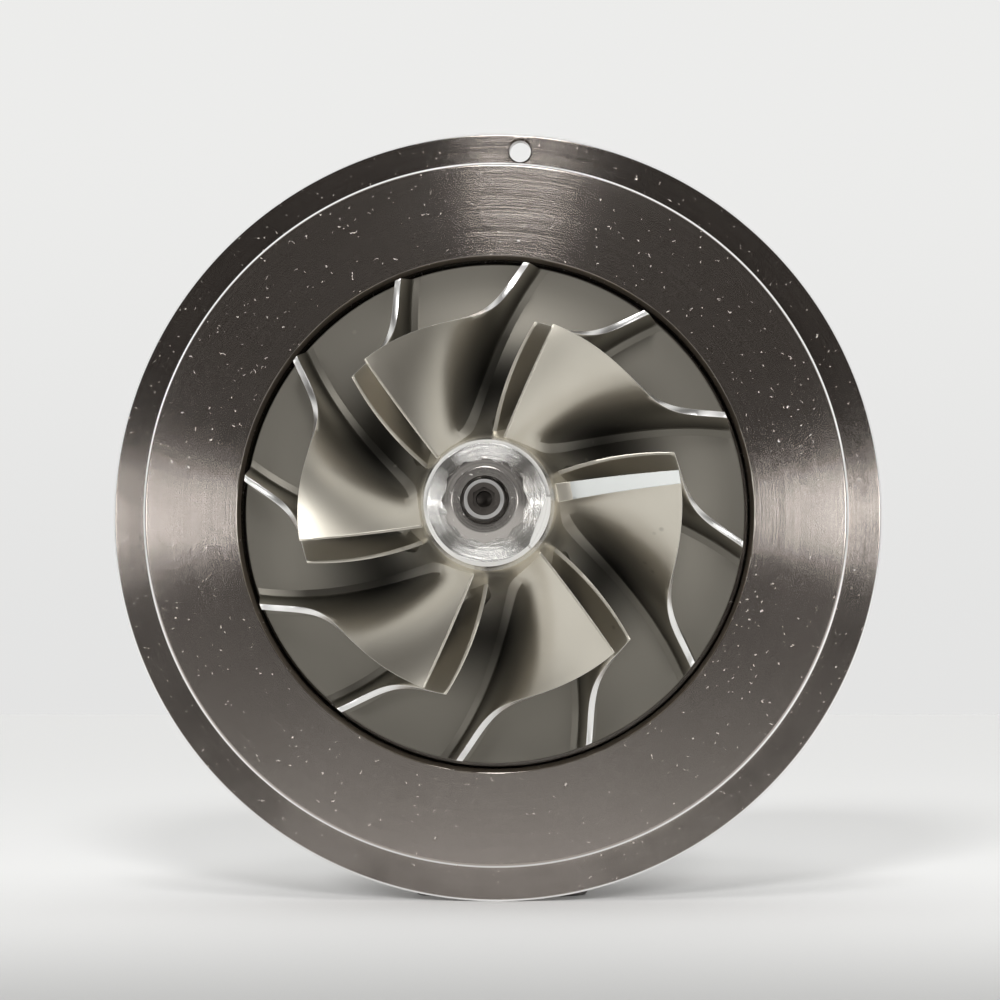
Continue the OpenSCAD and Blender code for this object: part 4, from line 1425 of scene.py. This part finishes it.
@dataclass
class TurbineEnd:
    """Cast turbine wheel and the pressed heat shield behind it."""

    seat: float = -74.2
    seat_r: float = 9.3
    floor: float = -75.8
    end: float = -102.2
    disc_r: float = 34.0
    wheel_r: float = 35.0
    outlet_r: float = 29.5
    hub_r: float = 9.0
    inlet_w: float = 8.6
    blades: int = 11
    turn: float = 42.0
    ease: float = 2.4
    tip_w: float = 1.3
    root_w: float = 2.6
    fillet_w: float = 1.2
    fillet_share: float = 0.14
    root_sink: float = -0.1
    scallop_r: float = 5.6
    scallop_end: float = -86.0
    hex_r: float = 6.0
    hex_end: float = -106.2
    shield_r: float = 37.1
    shield_bore_r: float = 10.7
    dish_r: float = 33.5
    shield_face: float = -66.8
    shield_floor: float = -73.6
    shield_t: float = 1.2
    rows: int = 36
    cols: int = 14

    def build(self, rack: FinishRack) -> None:
        """Casts the wheel and presses the shield."""
        hub = self._hub()
        blades = ring_of(self._blade(), self.blades, "turbine_blades")
        middle, depth = (self.end + self.hex_end) / 2, self.end - self.hex_end
        drive = hexagon("turbine_hexagon", self.hex_r, middle, depth)
        break_edges(drive, width=0.5, segments=3)
        wheel = join("turbine_wheel_cast", [hub, blades, drive])
        smooth(wheel, 40)
        dress(wheel, rack.alloy)
        enrol(wheel, Body.ROTOR, "turbine_alloy", "turbine_wheel")
        shield = self._shield()
        dress(shield, rack.sheet)
        enrol(shield, Body.CORE, "pressed_steel", "heat_shield")

    def _root(self, s: float) -> Point:
        """Hub line at the share s from inlet to outlet."""
        return swept((self.floor, self.disc_r), (self.end, self.hub_r), s)[::-1]

    def _tip(self, s: float) -> Point:
        """Shroud line at the share s from inlet to outlet."""
        start = (self.floor - self.inlet_w, self.wheel_r)
        return swept(start, (self.end, self.outlet_r), s)[::-1]

    def _hub(self) -> Piece:
        """Hub with its back disc scalloped between the blades."""
        steps = 22
        disc, floor, end = self.disc_r, self.floor, self.end
        line = [self._root(i / steps) for i in range(steps + 1)]
        nose = [(8.6, end - 0.9), (7.9, end - 1.4), (7.0, end - 1.5), (0, end - 1.5)]
        back = [(0, self.seat), (self.seat_r, self.seat), (disc - 0.4, floor + 0.5)]
        hub = turned("turbine_hub", back + [(disc, floor + 0.25)] + line + nose, steps=176)
        r, low, high = self.scallop_r, self.scallop_end, self.seat + 1
        cutter = turned("scallop", [(0, high), (r, high), (r, low), (0, low)], steps=48)
        shift(cutter, Vector((self.wheel_r + 1, 0, 0)) * MM)
        around_shaft(cutter, 180 / self.blades)
        cut(hub, ring_of(cutter, self.blades, "scallops"))
        return hub

    def _blade(self) -> Piece:
        """One cast blade from a flat slab."""
        blade = blade_blank("turbine_blade", self.rows, self.cols)
        for vertex in blade.data.vertices:
            s, rise, side = slab_place(vertex.co)
            v = blend(self.root_sink, 1.0, rise)
            root, tip = self._root(s), self._tip(s)
            r, h = blend(root[0], tip[0], v), blend(root[1], tip[1], v)
            width = blend(self.root_w, self.tip_w, max(v, 0.0))
            width += 2 * self.fillet_w * max(0.0, 1 - max(v, 0.0) / self.fillet_share) ** 2 * s
            a = -math.radians(self.turn) * s**self.ease + side * width / 2 / r
            vertex.co = Vector((r * math.cos(a), -h, r * math.sin(a))) * MM
        close_up(blade)
        break_edges(blade, width=0.3, segments=3, angle=50)
        return blade

    def _shield(self) -> Piece:
        """Pressed dish with a flat rim."""
        face, floor, t = self.shield_face, self.shield_floor, self.shield_t
        loop = rounded(
            [
                (self.dish_r - t, face, 0.2), (self.shield_r, face, 0.2),
                (self.shield_r, face - t, 0.2), (self.dish_r, face - t, 1.2),
                (self.dish_r, floor, 2.4), (self.shield_bore_r, floor, 0.2),
                (self.shield_bore_r, floor + t, 0.2), (self.dish_r - t, floor + t, 1.2),
            ],
            6,
        )
        return turned("heat_shield_dish", loop)


@dataclass
class BackplateBolts:
    """Hexagon bolts that hold the backplate on the housing."""

    count: int = 4
    circle_r: float = 44.0
    shank_r: float = 3.0
    head_af: float = 10.0
    head_h: float = 4.2
    seat: float = -14.5
    end: float = 2.0
    point: float = 0.4

    def build(self, rack: FinishRack) -> None:
        """Makes one bolt, moves it out to the bolt circle and repeats it."""
        bolt = self._bolt()
        shift(bolt, Vector((self.circle_r, 0, 0)) * MM)
        around_shaft(bolt, 180 / self.count)
        bolts = ring_of(bolt, self.count, "hexagon_bolts")
        smooth(bolts)
        dress(bolts, rack.zinc)
        enrol(bolts, Body.CORE, "zinc_steel", "backplate_bolts")

    def _bolt(self) -> Piece:
        """Hexagon head with turned corners and a raised bearing face, on its shank."""
        flat, seat, back = self.head_af / 2, self.seat, self.seat - self.head_h
        head_r = flat / math.cos(math.pi / 6)
        head = hexagon("bolt_head", head_r, seat - self.head_h / 2, self.head_h)
        loop = rounded(
            [
                (0, seat + 0.1, 0), (flat - 0.1, seat + 0.1, 0), (flat - 0.1, seat - 0.35, 0.1),
                (head_r + 0.2, seat - 0.5, 0.1), (head_r + 0.2, back + 0.9, 0.1),
                (flat - 0.3, back, 0.2), (0, back, 0),
            ]
        )
        cut(head, turned("head_turning", loop, steps=96), "INTERSECT")
        r, low, end, point = self.shank_r, seat - 1, self.end, self.point
        loop = [(0, low), (r, low), (r, end - point), (r - point, end), (0, end)]
        return join("bolt", [head, turned("bolt_shank", loop, steps=48)])


@dataclass
class KeptNodes:
    """Nodes of the frame whose shape is kept and that only get a finish."""

    nodes: dict[str, Piece]

    def build(self, rack: FinishRack) -> None:
        """Dresses each kept node."""
        finishes = {
            "backplate_seal": rack.rubber,
            "spring_washers": rack.spring,
            "oil_baffle": rack.zinc,
            "compressor_seal_ring": rack.spring,
            "thrust_bearing": rack.bronze,
            "thrust_dowels": rack.ground,
            "bearing_circlips": rack.spring,
            "turbine_seal_ring": rack.spring,
            "turbine_dowel": rack.ground,
            "compressor_bearing": rack.bronze,
            "turbine_bearing": rack.bronze,
            "inner_thrust_collar": rack.ground,
            "thrust_spacer": rack.ground,
            "oil_flinger": rack.ground,
        }
        for name, finish in finishes.items():
            self.nodes[name].data.materials.clear()
            dress(self.nodes[name], finish)
            log.info("%s: kept, %s", name, finish.name)


# Studio.


@dataclass
class Studio:
    """Pale floor painted darker in front, soft boxes, surroundings that darken in front, and the
    camera.
    """

    floor_z: float = -0.060
    floor_size: float = 40.0
    floor_back: Colour = (0.845, 0.845, 0.84)
    # Floor colour painted dark in front of the part, painted shade for the metal to reflect, and
    # where it fades to the pale colour behind.
    floor_front_shade: Colour = (0.20, 0.20, 0.196)
    floor_shade_fade: Point = (-0.38, 0.03)
    pale: Colour = (0.84, 0.84, 0.83)
    haze: Colour = (0.775, 0.775, 0.77)
    haze_top: float = 0.16
    dark: Colour = (0.055, 0.05, 0.046)
    dark_fade: Point = (-0.5, 0.1)
    camera_at: Place = (0.02296, -0.600, -0.0301)
    aim_at: Place = (0.00056, 0.0, 0.0024)
    lens: float = 138.7
    clip: Point = (0.01, 100.0)
    sun_power: float = 3.2
    sun_height: float = 11.0
    sun_side: float = 8.0
    sun_angle: float = 6.0

    def build(self) -> None:
        """Sets everything up."""
        self._surroundings()
        self._floor()
        self._box("left_box", (-0.50, -0.86, 0.05), (0.42, 0.10), 0.95)
        self._box("right_box", (0.46, -0.88, 0.05), (0.42, 0.10), 1.2)
        self._box("top_box", (0.0, -0.80, 0.61), (0.15, 0.36), 2.6)
        self._sun("left_sun", -self.sun_side)
        self._sun("right_sun", self.sun_side)
        self._camera()
        bpy.context.scene.view_settings.view_transform = "Standard"

    def _surroundings(self) -> None:
        """World that is pale all round and dark towards the front."""
        world = bpy.data.worlds.new("studio")
        world.use_nodes = True
        bpy.context.scene.world = world
        g = Graph(world.node_tree)
        _, y, z = g.parts(g.node("ShaderNodeTexCoord", out="Generated"))
        side = g.ease(y, *self.dark_fade)
        sky = g.mix(g.ease(z, 0.0, self.haze_top), self.haze, self.pale)
        light = g.node("ShaderNodeBackground", sockets={"Color": g.mix(side, self.dark, sky)})
        g.node("ShaderNodeOutputWorld", sockets={"Surface": light})

    def _floor(self) -> None:
        """Pale floor, its colour painted darker in front of the part as painted shade for the
        metal to reflect.
        """
        bpy.ops.mesh.primitive_plane_add(size=self.floor_size, location=(0, 0, self.floor_z))
        floor = named("floor")
        material, g = new_finish("pale_floor")
        y = g.parts(g.place())[1]
        tone = g.mix(g.ease(y, *self.floor_shade_fade), self.floor_front_shade, self.floor_back)
        g.surface(Base_Color=tone, Roughness=0.7)
        dress(floor, material)

    @staticmethod
    def _hang(name: str, data: bpy.types.ID, at: Place, aim: Place) -> Piece:
        """Puts a lamp or camera at a place, looking at another."""
        obj = bpy.data.objects.new(name, data)
        obj.location = at
        obj.rotation_euler = (Vector(aim) - Vector(at)).to_track_quat("-Z", "Y").to_euler()
        bpy.context.scene.collection.objects.link(obj)
        return obj

    def _box(self, name: str, at: Place, size: Point, power: float) -> None:
        """Soft box that looks at the wheel.

        Args:
            name: Name of the lamp.
            at: Its place.
            size: Its width and height.
            power: Its power in watts.
        """
        light = bpy.data.lights.new(name, "AREA")
        light.shape = "RECTANGLE"
        light.size, light.size_y = size
        light.energy = power
        self._hang(name, light, at, (0, 0, 0))

    def _sun(self, name: str, side: float) -> None:
        """Low sun from the front that lays the part's shadow on the floor.

        Args:
            name: Name of the lamp.
            side: Angle off the front, to the right.
        """
        light = bpy.data.lights.new(name, "SUN")
        light.energy = self.sun_power
        light.angle = math.radians(self.sun_angle)
        lamp = bpy.data.objects.new(name, light)
        lamp.visible_glossy = False
        lamp.rotation_euler = (math.radians(90 - self.sun_height), 0, math.radians(side))
        bpy.context.scene.collection.objects.link(lamp)

    def _camera(self) -> None:
        """Camera at the photograph's place."""
        camera = bpy.data.cameras.new("camera")
        camera.lens = self.lens
        camera.clip_start, camera.clip_end = self.clip
        bpy.context.scene.camera = self._hang("camera", camera, self.camera_at, self.aim_at)


def corners(bounds: Iterable[Vector]) -> list[list[float]]:
    """Box corners as plain lists."""
    return [list(corner) for corner in bounds]


def main() -> None:
    """Builds the cartridge around its frame and sets up the studio."""
    logging.basicConfig(level=logging.INFO, format="%(name)s: %(message)s")
    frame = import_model()
    rack = FinishRack()
    for assembly in (
        Backplate(),
        CompressorWheel(),
        ShaftEnd(),
        BearingHousing(),
        BackplateBolts(),
        TurbineEnd(),
        KeptNodes(frame["nodes"]),
    ):
        assembly.build(rack)
    Studio().build()


if __name__ == "__main__":
    main()
